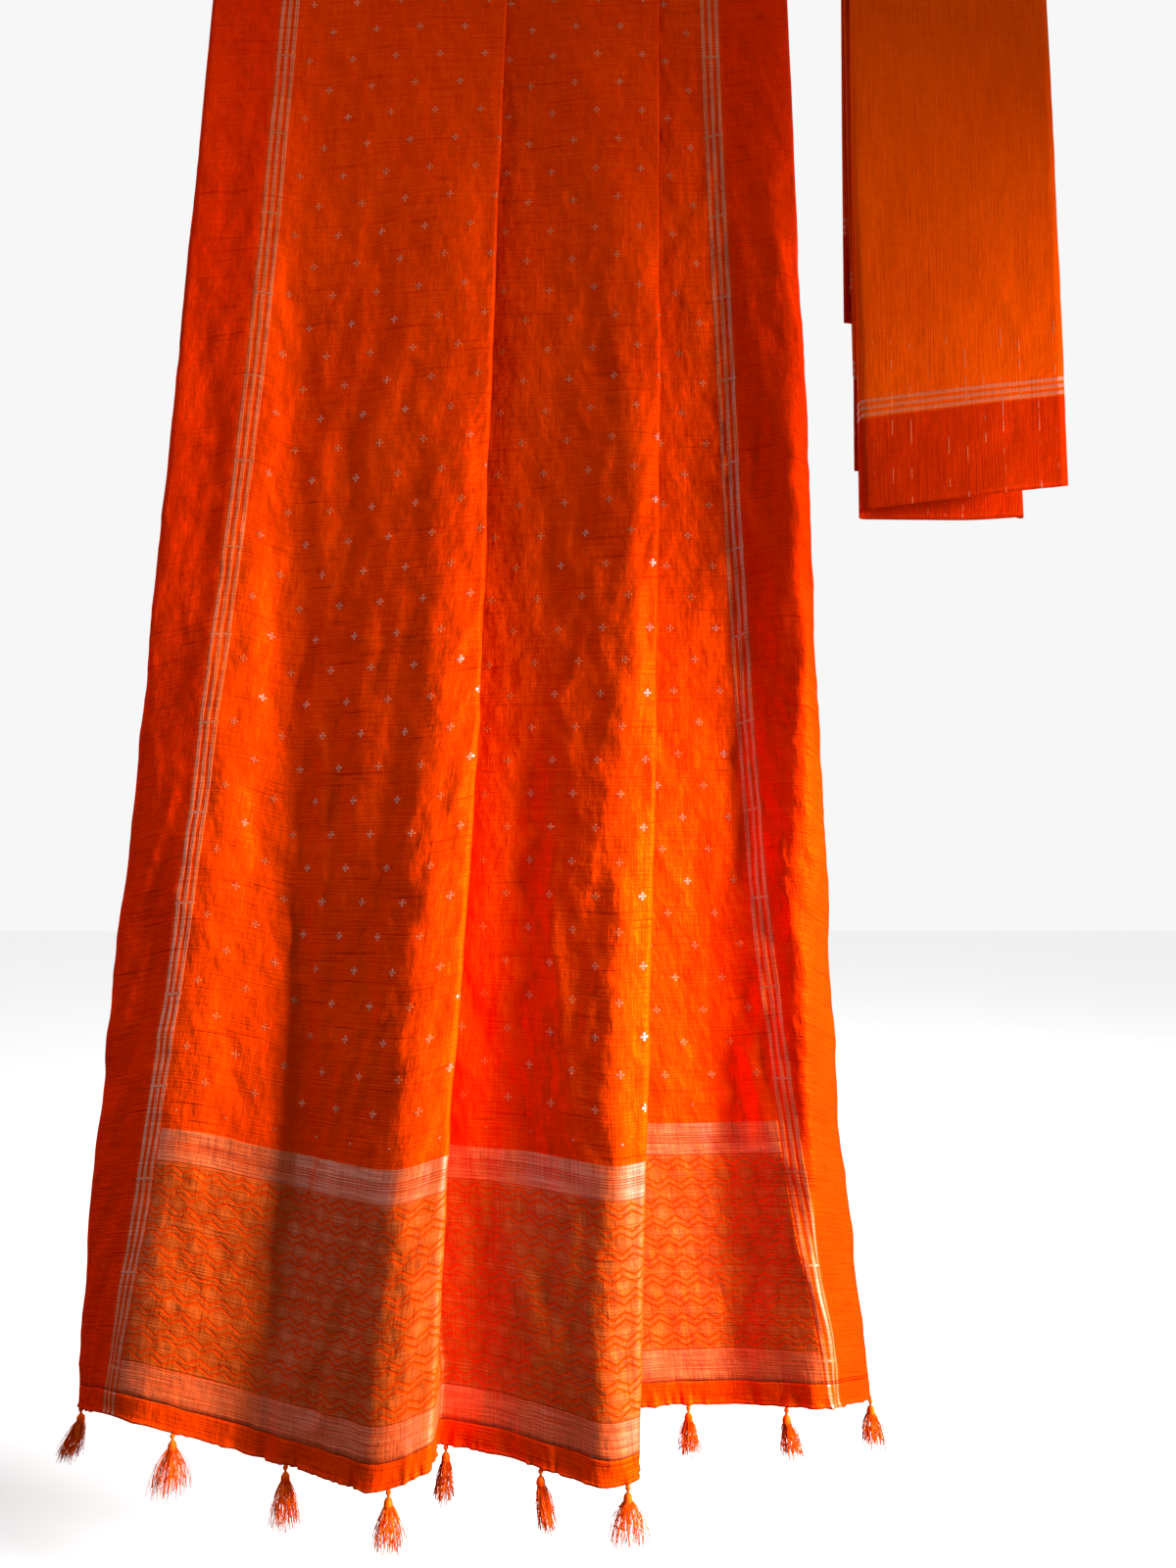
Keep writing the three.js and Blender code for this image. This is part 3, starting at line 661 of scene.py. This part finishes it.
def woven_silk(name):
    """Handloom silk with slubs, its metal thread pattern, and fine crumples as a bump."""
    material, start = start_material(name)
    u, v, _ = start.add("ShaderNodeUVMap", {"uv_map": "cloth"}).split()
    slub = start.specks(u * 16, v * 560, detail=3.0)
    thick_slub = start.specks(u * 9, v * 240, 4.0).rise(0.60, 0.78)
    warp = start.specks(u * 620, v * 22)
    cloud = start.specks(u * 7, v * 5, 2.0, detail=3.0)
    tone = (slub * 0.5 + warp * 0.25 + cloud * 0.35 - thick_slub * 0.16).rise(0.30, 0.80)
    aside = u.least(CLOTH_WIDTH - u)
    outer = 1 - aside.rise(BORDER_CENTRE - 0.016, BORDER_CENTRE - 0.010)
    colour = outer.blend(tone.blend(SILK_DEEP, SILK_BRIGHT), tone.blend(EDGE_DEEP, EDGE_BRIGHT))
    crumple = start.specks(u * 46, v * 26, 1.0, detail=3.0)
    crumple = crumple + start.specks(u * 24 + v * 7, v * 15, 5.0)
    height = crumple * 0.62 + slub * 0.16 + thick_slub * 0.12 + warp * 0.06
    thread, tissue = zari_pattern(start, u, v, aside, slub, warp)
    shine = (slub * 0.6 + warp * 0.5).rise(0.28, 0.78)
    colour = (tissue * 0.92).blend(colour, shine.blend(TISSUE_DEEP, TISSUE_BRIGHT))
    colour = (thread * 0.9).blend(colour, shine.blend(ZARI_DEEP, ZARI_BRIGHT))
    height = height + thread.most(tissue) * 0.14
    return paint(
        material,
        {**SILK_SHINE, **METAL_SHINE},
        (height, 0.0075),
        Base_Color=colour,
        Roughness=0.50 - tone * 0.10,
        Coat_Weight=thread.most(tissue * 0.22) * (0.20 + shine * 0.80),
    )


def zari_pattern(start, u, v, aside, slub, warp):
    """How much bright metal thread and how much dull tissue shows at each place of the cloth."""
    from_border = aside - BORDER_CENTRE
    lines = border_lines(from_border) * (0.62 + warp * 0.5)
    ticks = (v % TICK_STEP).stripe(0.052, 0.0026) * from_border.stripe(0.0, TICK_LENGTH)

    off_middle = (u - CLOTH_WIDTH / 2) / SPRIG_ACROSS
    column = off_middle.floor()
    across = (off_middle - column - 0.5) * SPRIG_ACROSS
    shifted = v / SPRIG_DOWN + (column % 2) * 0.5
    down = (shifted - shifted.floor() - 0.5) * SPRIG_DOWN
    far, near = abs(across).most(abs(down)), abs(across).least(abs(down))
    cross = (1 - far.rise(0.0040, 0.0046)) * (1 - near.rise(0.0005, 0.0009))
    from_petal = (far - SPRIG_REACH).across_from(near)
    petals = 1 - from_petal.rise(SPRIG_PETAL - 0.0003, SPRIG_PETAL + 0.0003)
    sprigs = cross.most(petals) * v.rise(0.325, 0.326) * aside.rise(0.116, 0.117)

    grain = 0.55 + 0.45 * slub.rise(0.40, 0.60)
    ribs = v.stripe(*BAND_MIDDLE) * (v % RIB_STEP).stripe(RIB_STEP / 2, 0.0010, 0.0002)
    low_band = v.rise(BAND_LOW[0], BAND_LOW[0] + 0.0012) * (1 - v.rise(BAND_LOW[1] - 0.001, BAND_LOW[1]))
    bands = (low_band * 0.85 + v.between(*BAND_HIGH) * (1 - ribs * 0.85)) * (0.40 + 0.55 * grain)

    body = v.between(BAND_LOW[1], BAND_HIGH[0])
    level = (v - BAND_LOW[1]) / ZIGZAG_ROWS
    row = level.floor()
    wave = abs((u / ZIGZAG_WAVE + (row % 2) * 0.5) % 1.0 - 0.5) * 4 - 1
    off_line = (level - row - 0.5) * ZIGZAG_ROWS + wave * ZIGZAG_HEIGHT
    zigzag = 1 - abs(abs(off_line) - 0.0037).rise(0.0010, 0.0016)
    dot_row = (level + 0.5).floor()
    dot_across = ((u / ZIGZAG_WAVE + (dot_row % 2) * 0.5) % 1.0 - 0.5) * ZIGZAG_WAVE
    dot_down = (level - dot_row) * ZIGZAG_ROWS
    dots = 1 - dot_across.across_from(dot_down * 1.25).rise(0.0042, 0.0056)
    thread = bands.most(body * dots * (0.10 + 0.22 * grain))
    tissue = body * (1 - zigzag) * (0.80 + 0.20 * grain)
    inside = aside.rise(PANEL_SIDE - 0.0005, PANEL_SIDE + 0.0005)
    return lines.most(ticks).most(sprigs * 0.8).most(thread * inside), tissue * inside


front_silk = woven_silk("front_silk")

FRONT_ROWS = 274
OVER_ROWS = 7
SEAM_GAP = 0.0003              # left open on the line over the rod, and above each tassel
SEAM_TURN = SEAM_GAP / 2 / ROD_RADIUS


def lay_across(make_corners, rows, width):
    """Lines across a cloth of that width for all its rows, and where each point lies across it."""
    lines = cross_lines(make_corners(fit_tuck(make_corners, rows, width / MM)))
    across = distance_across(lines)
    return lines, across / across[:, -1:] * width


def lay_front(drops, fine):
    """Lines across the front at those drops, and where each point lies across it."""
    drops = np.asarray(drops) / MM
    make_corners = saree_corners(FRONT, DROPS, FRONT_TURN, drops, fine, FRONT_DROP / MM)
    return lay_across(make_corners, len(drops), CLOTH_WIDTH)


def add_front():
    hang = np.linspace(0.0, FRONT_DROP - HEM_STRIP, FRONT_ROWS)
    lines, u = lay_front(hang, 1)
    v = np.broadcast_to((FRONT_DROP - hang)[:, None], u.shape)
    shift = relief(u, v) * lines[..., 3]
    angles = np.linspace(math.pi / 2 - SEAM_TURN, 0.0, OVER_ROWS, endpoint=False)[:, None]
    grids = []
    for x, depth in both_faces(lines, SILK_THICKNESS, shift):
        hanging = on_front(x, depth, lines[..., 2], hang[:, None])
        grids.append(np.concatenate([over_rod(x[:1], depth[:1], angles), hanging]))
    places = join_places((u[:1], FRONT_DROP + REST * MM * angles), (u, v))
    return add_cloth("front_silk", grids, places, front_silk, "front_silk")


front = add_front()
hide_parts("pallu_fall")

# Hem strip
# The lowest 26 mm of the front, left plain below the woven panel. Its edge is rolled by hand into a
# cord and whipped with thread, which draws the strip into small upright puckers.
HEM_CUTS = 4                   # how many times finer than the front this strip is across
ROLL_HALF = 1.25 * MM
ROLL_HEIGHT = 2.6 * MM
PUCKER = 1.5                   # mm
WHIP_STEP = 6.4 * MM
WHIP_THREAD = 0.24 * MM
WHIP_SLANT = 1.3 * MM
THREAD_RED = (0.60, 0.030, 0.002, 1)
THREAD_PALE = (0.80, 0.10, 0.01, 1)
# Heights above the edge in mm, and how thick the cloth is there in mm
HEM_ROWS = [
    (26.0, 0.5), (23.5, 0.5), (21.0, 0.5), (18.5, 0.5), (16.0, 0.5), (13.5, 0.5), (11.0, 0.5), (9.0, 0.5),
    (7.0, 0.55), (5.4, 0.7), (4.2, 1.3), (3.4, 2.1), (2.5, 2.5), (1.4, 2.45), (0.6, 1.9), (0.0, 0.7),
]


def hem_pucker(u, v):
    """How far the strip is drawn in and out by its whipping, in mm."""
    drawn = np.clip(1 - (v - 2 * MM) / (22 * MM), 0, 1) ** 1.6
    folds = soft_noise(u, v, 0.0046, 0.060, 21) * 1.25 + soft_noise(u, v, 0.0105, 0.080, 23) * 0.8
    return PUCKER * drawn * folds


hem_heights = np.array([row[0] for row in HEM_ROWS]) * MM
hem_thickness = np.array([row[1] for row in HEM_ROWS]) * MM
hem_lines, hem_u = lay_front(FRONT_DROP - hem_heights, HEM_CUTS)
hem_v = np.broadcast_to(hem_heights[:, None], hem_u.shape)
hem_shift = relief(hem_u, hem_v) * hem_lines[..., 3] + hem_pucker(hem_u, hem_v)
hem_faces = [
    on_front(x, depth, hem_lines[..., 2], FRONT_DROP - hem_heights[:, None])
    for x, depth in both_faces(hem_lines, hem_thickness[:, None], hem_shift)
]
# The strip's top row is drawn onto the front's own lower edge, so that no slit opens there
front_u = lay_front([FRONT_DROP - HEM_STRIP], 1)[1][0]
front_points = np.array([tuple(vertex.co) for vertex in front.data.vertices])
front_points = front_points.reshape(2, -1, len(front_u), 3)
draw = (hem_heights / HEM_STRIP)[:, None]
for face, edge in zip(hem_faces, front_points[:, -1]):
    for axis in range(3):
        face[..., axis] += draw * (np.interp(hem_u[0], front_u, edge[:, axis]) - face[0, :, axis])
hem_strip = add_cloth("hem_strip", hem_faces, join_places((hem_u, hem_v)), front_silk, "front_silk")
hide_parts("pallu_fall")


def thread_silk(name, red, pale):
    """Loose or stitched silk thread, uneven in tone along its length."""
    material, start = start_material(name)
    place = start.add("ShaderNodeTexCoord", None, None, "Object")
    tone = start.noise(place, 90.0, 3.0).rise(0.35, 0.70)
    twist = start.noise(place, 1400.0, 1.0)
    return paint(
        material,
        {"Metallic": 0.15, "Specular IOR Level": 0.0, "Specular Tint": (1.0, 0.30, 0.05, 1)},
        (twist, 0.0002),
        Base_Color=tone.blend(red, pale),
        Roughness=tone * 0.12 + 0.42,
    )


def ring_tube(centres, radius, sides):
    """Vertices and faces of a thread through points."""
    centres = np.asarray(centres, float)
    ways = np.gradient(centres, axis=0)
    rings = []
    for centre, way in zip(centres, ways):
        way = way / np.linalg.norm(way)
        side = np.cross(way, (0.31, 0.17, 0.94))
        side = side / np.linalg.norm(side)
        up = np.cross(way, side)
        rings.append([centre + radius * (side * math.cos(a) + up * math.sin(a)) for a in round_angles(sides)])
    return tube_mesh(rings)


roll_row = int(np.argmax(hem_thickness))
roll_middle = (hem_faces[0][roll_row] + hem_faces[1][roll_row]) / 2
roll_out = hem_faces[0][roll_row] - hem_faces[1][roll_row]
roll_out /= np.linalg.norm(roll_out, axis=-1, keepdims=True)
roll_along = np.gradient(roll_middle, axis=0)
roll_along /= np.linalg.norm(roll_along, axis=-1, keepdims=True)
whip_parts = []
for at in np.arange(WHIP_STEP / 2, CLOTH_WIDTH, WHIP_STEP):
    k = int(np.searchsorted(hem_u[roll_row], at))
    ring = []
    for turn in np.linspace(-0.15, 1.05, 11) * 2 * math.pi:
        ring.append(
            roll_middle[k]
            + roll_out[k] * (ROLL_HALF + WHIP_THREAD * 0.6) * math.cos(turn)
            + np.array([0, 0, 1]) * (ROLL_HEIGHT / 2 + WHIP_THREAD) * math.sin(turn)
            + roll_along[k] * WHIP_SLANT * (turn / (2 * math.pi) - 0.5)
        )
    whip_parts.append(ring_tube(ring, WHIP_THREAD, 4))
whip_thread = thread_silk("whip_thread", THREAD_RED, THREAD_PALE)
hem_whipping = add_piece("hem_whipping", *join_meshes(whip_parts), whip_thread, "front_silk")

# Tassels
# Ten tassels of loose silk on the hem: each a knot under the edge, a thin neck, a bound head and a
# skirt of fine strands that flares towards its foot.
TASSELS = [
    {"at": 0.003, "length": 58, "spread": 13, "drift": -12},
    {"at": 0.146, "length": 62, "spread": 21, "drift": -3},
    {"at": 0.256, "length": 63, "spread": 15, "drift": 0},
    {"at": 0.362, "length": 60, "spread": 17, "drift": 1},
    {"at": 0.458, "length": 58, "spread": 11, "drift": -2},
    {"at": 0.552, "length": 62, "spread": 10, "drift": 7},
    {"at": 0.631, "length": 59, "spread": 22, "drift": 0},
    {"at": 0.778, "length": 53, "spread": 13, "drift": 1},
    {"at": 0.868, "length": 52, "spread": 13, "drift": 6},
    {"at": 0.997, "length": 54, "spread": 15, "drift": 3},
]
STRANDS = 150
STRAND_RADIUS = 0.27 * MM
STRAND_STEPS = 6
HEAD_HEIGHT = 15 * MM
# Radius and height of the knot, the neck and the head in mm, from the hem down
HEAD_PROFILE = [
    (0.6, 0.6), (2.0, -0.2), (2.7, -1.5), (2.6, -2.9), (1.7, -4.2), (1.25, -5.4), (1.5, -6.6), (2.9, -8.0),
    (3.9, -9.6), (4.3, -11.2), (4.1, -12.6), (4.2, -15.0), (3.4, -16.2),
]
HEAD_SIDES = 22
HEAD_GROOVE = 0.05             # every other line down the head stands out by this share
HEAD_INSIDE = 3.3 * MM         # the strands leave the head within this radius
BINDINGS = 5
BINDING_TOP = -11.8 * MM
BINDING_STEP = 0.62 * MM
BINDING_RADIUS = 4.35 * MM
BINDING_THREAD = 0.33 * MM
TASSEL_RED = (0.74, 0.050, 0.001, 1)
TASSEL_PALE = (0.90, 0.130, 0.006, 1)


def strand_line(number, tassel, chance):
    """Points of one strand from inside the head to its tip, bent a little on its way."""
    ring = math.sqrt((number + 0.5) / STRANDS)
    angle = number * math.pi * (3 - math.sqrt(5)) + chance.uniform(-0.3, 0.3)
    length = tassel["length"] * MM * chance.uniform(0.78, 1.0) - HEAD_HEIGHT
    stray = 1.0 + 0.22 * max(0.0, chance.normal())
    bend = chance.uniform(-1, 1, 2) * 2.2 * MM
    spread = tassel["spread"] * MM * stray
    points = []
    for k in range(STRAND_STEPS):
        t = k / (STRAND_STEPS - 1)
        out = ring * (HEAD_INSIDE + (spread * 0.93 - HEAD_INSIDE) * (1 - (1 - t) ** 1.7))
        wave = math.sin(t * math.pi * 1.5)
        points.append((
            out * math.cos(angle) + tassel["drift"] * MM * t + bend[0] * wave,
            out * math.sin(angle) + bend[1] * wave,
            2.0 * MM - HEAD_HEIGHT - (length + 1.5 * MM) * t,
        ))
    return np.array(points)


def make_tassel(number, tassel, root):
    chance = np.random.RandomState(100 + number)
    rings = []
    for radius, height in HEAD_PROFILE:
        ring = []
        for k, a in enumerate(round_angles(HEAD_SIDES)):
            out = radius * MM * (1 + HEAD_GROOVE * (-1) ** k)
            ring.append(root + (out * math.cos(a), out * math.sin(a), height * MM))
        rings.append(ring)
    parts = [tube_mesh(rings)]
    turns = np.linspace(0, 2 * math.pi, 21)
    for k in range(BINDINGS):
        height = BINDING_TOP - k * BINDING_STEP
        loop = [root + (BINDING_RADIUS * math.cos(a), BINDING_RADIUS * math.sin(a), height) for a in turns]
        parts.append(ring_tube(loop, BINDING_THREAD, 4))
    for k in range(STRANDS):
        parts.append(ring_tube(strand_line(k, tassel, chance) + root, STRAND_RADIUS, 3))
    piece = add_piece(f"tassel_{number:02d}_threads", *join_meshes(parts), tassel_silk, "tassel_thread")
    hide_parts(f"tassel_{number:02d}")
    return piece


tassel_silk = thread_silk("tassel_silk", TASSEL_RED, TASSEL_PALE)
hem_edge = (hem_faces[0][-1] + hem_faces[1][-1]) / 2
for number, tassel in enumerate(TASSELS, 1):
    k = int(np.searchsorted(hem_u[-1], tassel["at"] * CLOTH_WIDTH))
    make_tassel(number, tassel, hem_edge[k] - (0, 0, SEAM_GAP))

# Back silk
# The same saree where it comes down behind the rod, 1.30 m long, with both pleats pressed nearly
# flat. At its foot it is turned under and goes up again inside.
BACK_DROP = 1.300
BACK_DROPS = [0, 600, 1300]
BACK = {
    "selvedge_left": {"x": [-495, -491, -484], "depth": [REST, REST, REST]},
    "border_left": {"x": [-408, -404, -396], "depth": [REST, 19, 19]},
    "trough_left": {"x": [-368, -362, -356], "depth": [REST, 20, 20]},
    "brow_one": {"before": [126, 128, 126], "depth": [RAISED, 29, 27]},
    "crest_one": {"x": [-149, -142, -150], "depth": [RAISED, 32, 27]},
    "valley_one": {"depth": [REST, REST, REST]},
    "panel_middle": {"depth": [REST, 20, 18]},
    "brow_two": {"before": [126, 128, 126], "depth": [RAISED, 28, 26]},
    "crest_two": {"x": [28, 20, 26], "depth": [RAISED, 31, 27]},
    "valley_two": {"depth": [REST, REST, REST]},
    "trough_right": {"x": [70, 66, 64], "depth": [REST, 19, 18]},
    "border_right": {"x": [85, 82, 80], "depth": [REST, 19, 18]},
    "ridge_right": {"x": [150, 146, 142], "depth": [REST, 19, 18]},
    "selvedge_right": {"x": [179, 176, 172], "depth": [REST, REST, REST]},
}
BACK_TURN = [PLY, 4, PLY]
BACK_ROWS = 150
FOOT_AXIS = 16                 # mm, depth of the axis of the turn at the foot
FOOT_ROWS = 9
FOOT_RADIUS = 5 * MM
BACK_CREASE = 0.55             # how much of the front's relief the pressed back has


def add_back():
    hang = np.linspace(0.0, BACK_DROP, BACK_ROWS)
    make_corners = saree_corners(BACK, BACK_DROPS, BACK_TURN, hang / MM, 1, BACK_DROP / MM)
    lines, u = lay_across(make_corners, BACK_ROWS, CLOTH_WIDTH)
    hang = hang[:, None]
    v = np.broadcast_to(FRONT_DROP + REST * MM * math.pi + hang, u.shape)
    calm = np.clip((BACK_DROP - hang) / 0.06, 0.25, 1.0)
    shift = relief(u, v) * lines[..., 3] * BACK_CREASE * calm
    over_turn = np.linspace(math.pi / 2 + SEAM_TURN, math.pi, OVER_ROWS, endpoint=False)[:, None]
    foot_turn = np.linspace(0, math.pi, FOOT_ROWS + 1)[1:, None]
    grids = []
    for x, depth in both_faces(lines, SILK_THICKNESS, shift):
        over = over_rod(x[:1], depth[:1], over_turn)
        hanging = np.stack(np.broadcast_arrays(x * MM, depth * MM, -hang), axis=-1)
        radius = depth[-1:] - FOOT_AXIS
        foot = np.stack(np.broadcast_arrays(
            x[-1:] * MM,
            (FOOT_AXIS + radius * np.cos(foot_turn)) * MM,
            -BACK_DROP - radius * MM * np.sin(foot_turn),
        ), axis=-1)
        grids.append(np.concatenate([over, hanging, foot]))
    over_v = FRONT_DROP + REST * MM * over_turn
    foot_v = v[-1, 0] + foot_turn * FOOT_RADIUS
    places = join_places((u[:1], over_v), (u, v), (u[-1:], foot_v))
    return add_cloth("back_silk", grids, places, back_silk, "back_silk")


back_silk = woven_silk("back_silk")
back = add_back()
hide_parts("back_fall")

# Inner layers
# The rest of the saree, folded lengthwise into two plies between the front and the back: they go
# up behind, over the rod and down in front, and only their edges show from the sides.
INNER_PLIES = [
    {"left": -478, "right": 50, "front": 905, "front_right": 35, "top": 13.95, "foot": 9.1, "at": 0.60},
    {"left": -488, "right": 150, "front": 928, "front_right": 88, "top": 15.55, "foot": 13.1, "at": 0.0},
]
INNER_COLUMNS = 44
INNER_ROWS = 70
INNER_THICKNESS = 0.9 * MM     # the ply with the air in it
INNER_FOOT = 1298              # mm
INNER_START = 3.0              # where these layers begin along the saree, in m from its hem


def inner_ply(ply):
    """One ply, from its end in front, up over the rod and down to the foot of the back."""
    top, length = ply["top"], ply["front"]
    front = np.linspace(length, 0, INNER_ROWS)
    over = np.linspace(0, math.pi, 13)[1:-1]
    behind = np.linspace(0, INNER_FOOT, INNER_ROWS)
    slope = (ply["foot"] - top) / INNER_FOOT
    y = np.concatenate([np.full(INNER_ROWS, -top), -top * np.cos(over), top + slope * behind])[:, None]
    z = np.concatenate([-front, top * np.sin(over), -behind])[:, None]
    run = np.concatenate([length - front, length + top * over, length + math.pi * top + behind])[:, None]
    hanging = np.where(y > 0, 0, np.maximum(-z, 0)) / length
    right = ply["right"] + (ply["front_right"] - ply["right"]) * hanging
    x = ply["left"] + (right - ply["left"]) * np.linspace(0, 1, INNER_COLUMNS)
    sag = 0.35 * soft_noise(x * MM + 2, run * MM, 0.05, 0.12, 31) * np.clip(np.abs(z) / 200, 0, 1)
    out = np.where(z > 0, 0, np.sign(y)) * sag
    u = ply["at"] + (x - ply["left"]) * MM
    grids = []
    for side in (0.5, -0.5):
        off = side * INNER_THICKNESS / MM
        push = 1 + off / top
        over_y = np.where(z > 0, y * push, y + np.sign(y) * off)
        over_z = np.where(z > 0, z * push, z)
        grids.append(np.stack(np.broadcast_arrays(x * MM, (over_y + out) * MM, over_z * MM), axis=-1))
    return cloth_shell(*grids, join_places((u, INNER_START + run * MM)))


inner_silk = woven_silk("inner_silk")
inner_points, inner_faces, inner_places = zip(*[inner_ply(ply) for ply in INNER_PLIES])
inner = add_piece(
    "inner_layers_silk",
    np.concatenate(inner_points),
    np.concatenate([inner_faces[0], inner_faces[1] + len(inner_points[0])]),
    inner_silk,
    "inner_silk",
    np.concatenate(inner_places),
)
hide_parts("inner_layers")

# Blouse piece
# The unstitched length for the blouse, 0.75 m by 1.15 m, folded on itself in a zigzag of four leaves
# and hung over the rod beside the saree. One border runs across it, above a redder plain end.
BLOUSE_WIDTH = 0.745
BLOUSE_LENGTH = 1.150
BLOUSE_DROPS = [0, 340, 680]
BLOUSE_ROWS = 96
BLOUSE = {
    "edge_right": {"x": [484, 483, 478], "front": [23, 40, 60], "back": [23, 25, 24], "hem": 656},
    "leaf_one": {"x": [370, 367, 362], "front": [23, 44, 67], "back": [23, 27, 27], "hem": 671},
    "fold_left": {"x": [254, 252, 250], "front": [23, 38, 54], "back": [23, 24, 24], "hem": 682},
    "fold_left_under": {"x": [254, 253, 254], "front": [20, 25, 20], "back": [20, 20, 20], "hem": 682},
    "leaf_two": {"x": [340, 360, 390], "front": [20, 17, 9], "back": [20, 20, 20], "hem": 680},
    "fold_right": {"x": [432, 440, 450], "front": [20, 15, 4], "back": [20, 20, 20], "hem": 674},
    "fold_right_under": {"x": [432, 440, 450], "front": [17, 9, -4], "back": [17, 17, 17], "hem": 674},
    "leaf_three": {"x": [340, 340, 340], "front": [17, 6, -9], "back": [17, 17, 17], "hem": 645},
    "fold_back": {"x": [256, 257, 259], "front": [17, 4, -12], "back": [17, 17, 17], "hem": 612},
    "fold_back_under": {"x": [256, 257, 259], "front": [14, -1, -19], "back": [14, 14, 14], "hem": 612},
}
BLOUSE_BORDER = 0.118          # height of its border above the lower edge
BLOUSE_ON_ROD = 0.67           # where it lies on the rod, along the piece from its front edge
DASH_STEP = 0.0205             # between the columns of broken threads near the border
BLOUSE_BRIGHT = (0.86, 0.082, 0.0006, 1)
BLOUSE_DEEP = (0.70, 0.052, 0.0005, 1)
BLOUSE_END_BRIGHT = (0.66, 0.030, 0.0006, 1)
BLOUSE_END_DEEP = (0.48, 0.015, 0.0004, 1)


def blouse_corners(side, drops):
    """Corners of the blouse piece for rows at those drops, as a function of its last leaf."""

    def corner(name, shift=0.0):
        row = BLOUSE[name]
        folded = name.startswith("fold")
        return {
            "x": along(BLOUSE_DROPS, row["x"], drops) + shift,
            "depth": along(BLOUSE_DROPS, row[side], drops),
            "hem": np.full(len(drops), float(row["hem"])),
            "free": np.full(len(drops), 1.0 if name in ("edge_right", "leaf_one") else 0.2),
            "round": 9 if folded else 40,
            "steps": 4,
            "cuts": 1 if folded and not name.endswith("under") else 9,
        }

    def corners(rest):
        return [corner(name) for name in BLOUSE] + [corner("fold_back_under", rest)]

    return corners


# Creases of the blouse piece: from (u, v) to (u, v) in m, half width and height in mm
BLOUSE_CREASES = [
    (0.030, 0.60, 0.150, 0.34, 14, 1.8),
    (0.090, 0.30, 0.030, 0.13, 12, -1.6),
    (0.190, 0.52, 0.215, 0.20, 15, 1.4),
    (0.160, 0.10, 0.220, 0.02, 9, -1.8),
    (0.050, 0.09, 0.100, 0.01, 8, 1.5),
    (0.110, 0.66, 0.090, 0.50, 12, -1.2),
    (0.060, 0.90, 0.120, 1.08, 13, 1.6),
    (0.180, 0.80, 0.160, 1.05, 14, -1.4),
]


def blouse_relief(u, v):
    """How far the blouse piece stands off its plain form, in mm."""
    from_rod = np.abs(v - BLOUSE_ON_ROD)
    loose = 0.1 + 0.9 * np.clip((from_rod - 0.03) / 0.25, 0, 1)
    total = creases(BLOUSE_CREASES, u, v)
    total += 1.1 * soft_noise(u, v, 0.07, 0.16, 41) + 0.55 * crumples(u, v, 0.03, 0.05, 43)
    return total * loose


def blouse_silk():
    """The saree's silk without sprigs, with one border across it and broken metal threads."""
    material, start = start_material("blouse_silk")
    u, v, _ = start.add("ShaderNodeUVMap", {"uv_map": "cloth"}).split()
    slub = start.specks(u * 560, v * 16, detail=3.0)
    warp = start.specks(u * 24, v * 620, 3.0)
    cloud = start.specks(u * 9, v * 6, 2.0, detail=3.0)
    tone = (slub * 0.45 + warp * 0.3 + cloud * 0.35).rise(0.32, 0.78)
    end = 1 - v.rise(BLOUSE_BORDER - 0.014, BLOUSE_BORDER - 0.010)
    end_colour = tone.blend(BLOUSE_END_DEEP, BLOUSE_END_BRIGHT)
    colour = end.blend(tone.blend(BLOUSE_DEEP, BLOUSE_BRIGHT), end_colour)
    lines = border_lines(v - BLOUSE_BORDER)
    broken = start.specks(u * 50, v * 42, detail=1.0).rise(0.55, 0.62)
    dashes = (u % DASH_STEP).stripe(0.010, 0.0012, 0.0003) * broken * (1 - v.rise(0.19, 0.20))
    metal = (lines * (0.55 + 0.45 * slub)).most(dashes * 0.8)
    crumple = start.specks(u * 46, v * 34, 1.0, detail=3.0)
    height = crumple * 0.5 + slub * 0.14 + metal * 0.12
    return paint(
        material,
        {**SILK_SHINE, **METAL_SHINE, "Metallic": 0.18, "Specular Tint": (1.0, 0.25, 0.02, 1)},
        (height, 0.0040),
        Base_Color=(metal * 0.9).blend(colour, tone.blend(ZARI_DEEP, ZARI_BRIGHT)),
        Roughness=0.5 - tone * 0.06,
        Coat_Weight=metal * 0.7,
    )


blouse_cloth = blouse_silk()


def add_blouse(side):
    """The half of the blouse piece on that side of the rod."""
    in_front = side == "front"
    hang = np.linspace(0.0, BLOUSE_DROPS[-1], BLOUSE_ROWS)
    lines, u = lay_across(blouse_corners(side, hang), BLOUSE_ROWS, BLOUSE_WIDTH)
    over = math.pi * ROD_RADIUS
    hem = lines[..., 2] * MM if in_front else BLOUSE_LENGTH - over - lines[..., 2] * MM
    drop = hang[:, None] / BLOUSE_DROPS[-1] * hem
    from_edge = hem - drop
    shift = blouse_relief(u, from_edge if in_front else BLOUSE_LENGTH - from_edge) * lines[..., 3]
    turns = (math.pi / 2 - SEAM_TURN) * (1 - np.arange(OVER_ROWS) / OVER_ROWS)[:, None]
    grids = []
    for x, depth in both_faces(lines, SILK_THICKNESS, shift):
        top = over_rod(x[:1], depth[:1], turns if in_front else math.pi - turns)
        y = (-depth if in_front else depth) * MM
        grids.append(np.concatenate([top, np.stack([x * MM, y, -drop], axis=-1)]))
    places = join_places((u[:1], from_edge[:1] + ROD_RADIUS * turns), (u, from_edge))
    piece = add_cloth(f"blouse_silk_{side}", grids, places, blouse_cloth, "blouse_silk")
    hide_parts(f"blouse_{side}")


add_blouse("front")
add_blouse("back")
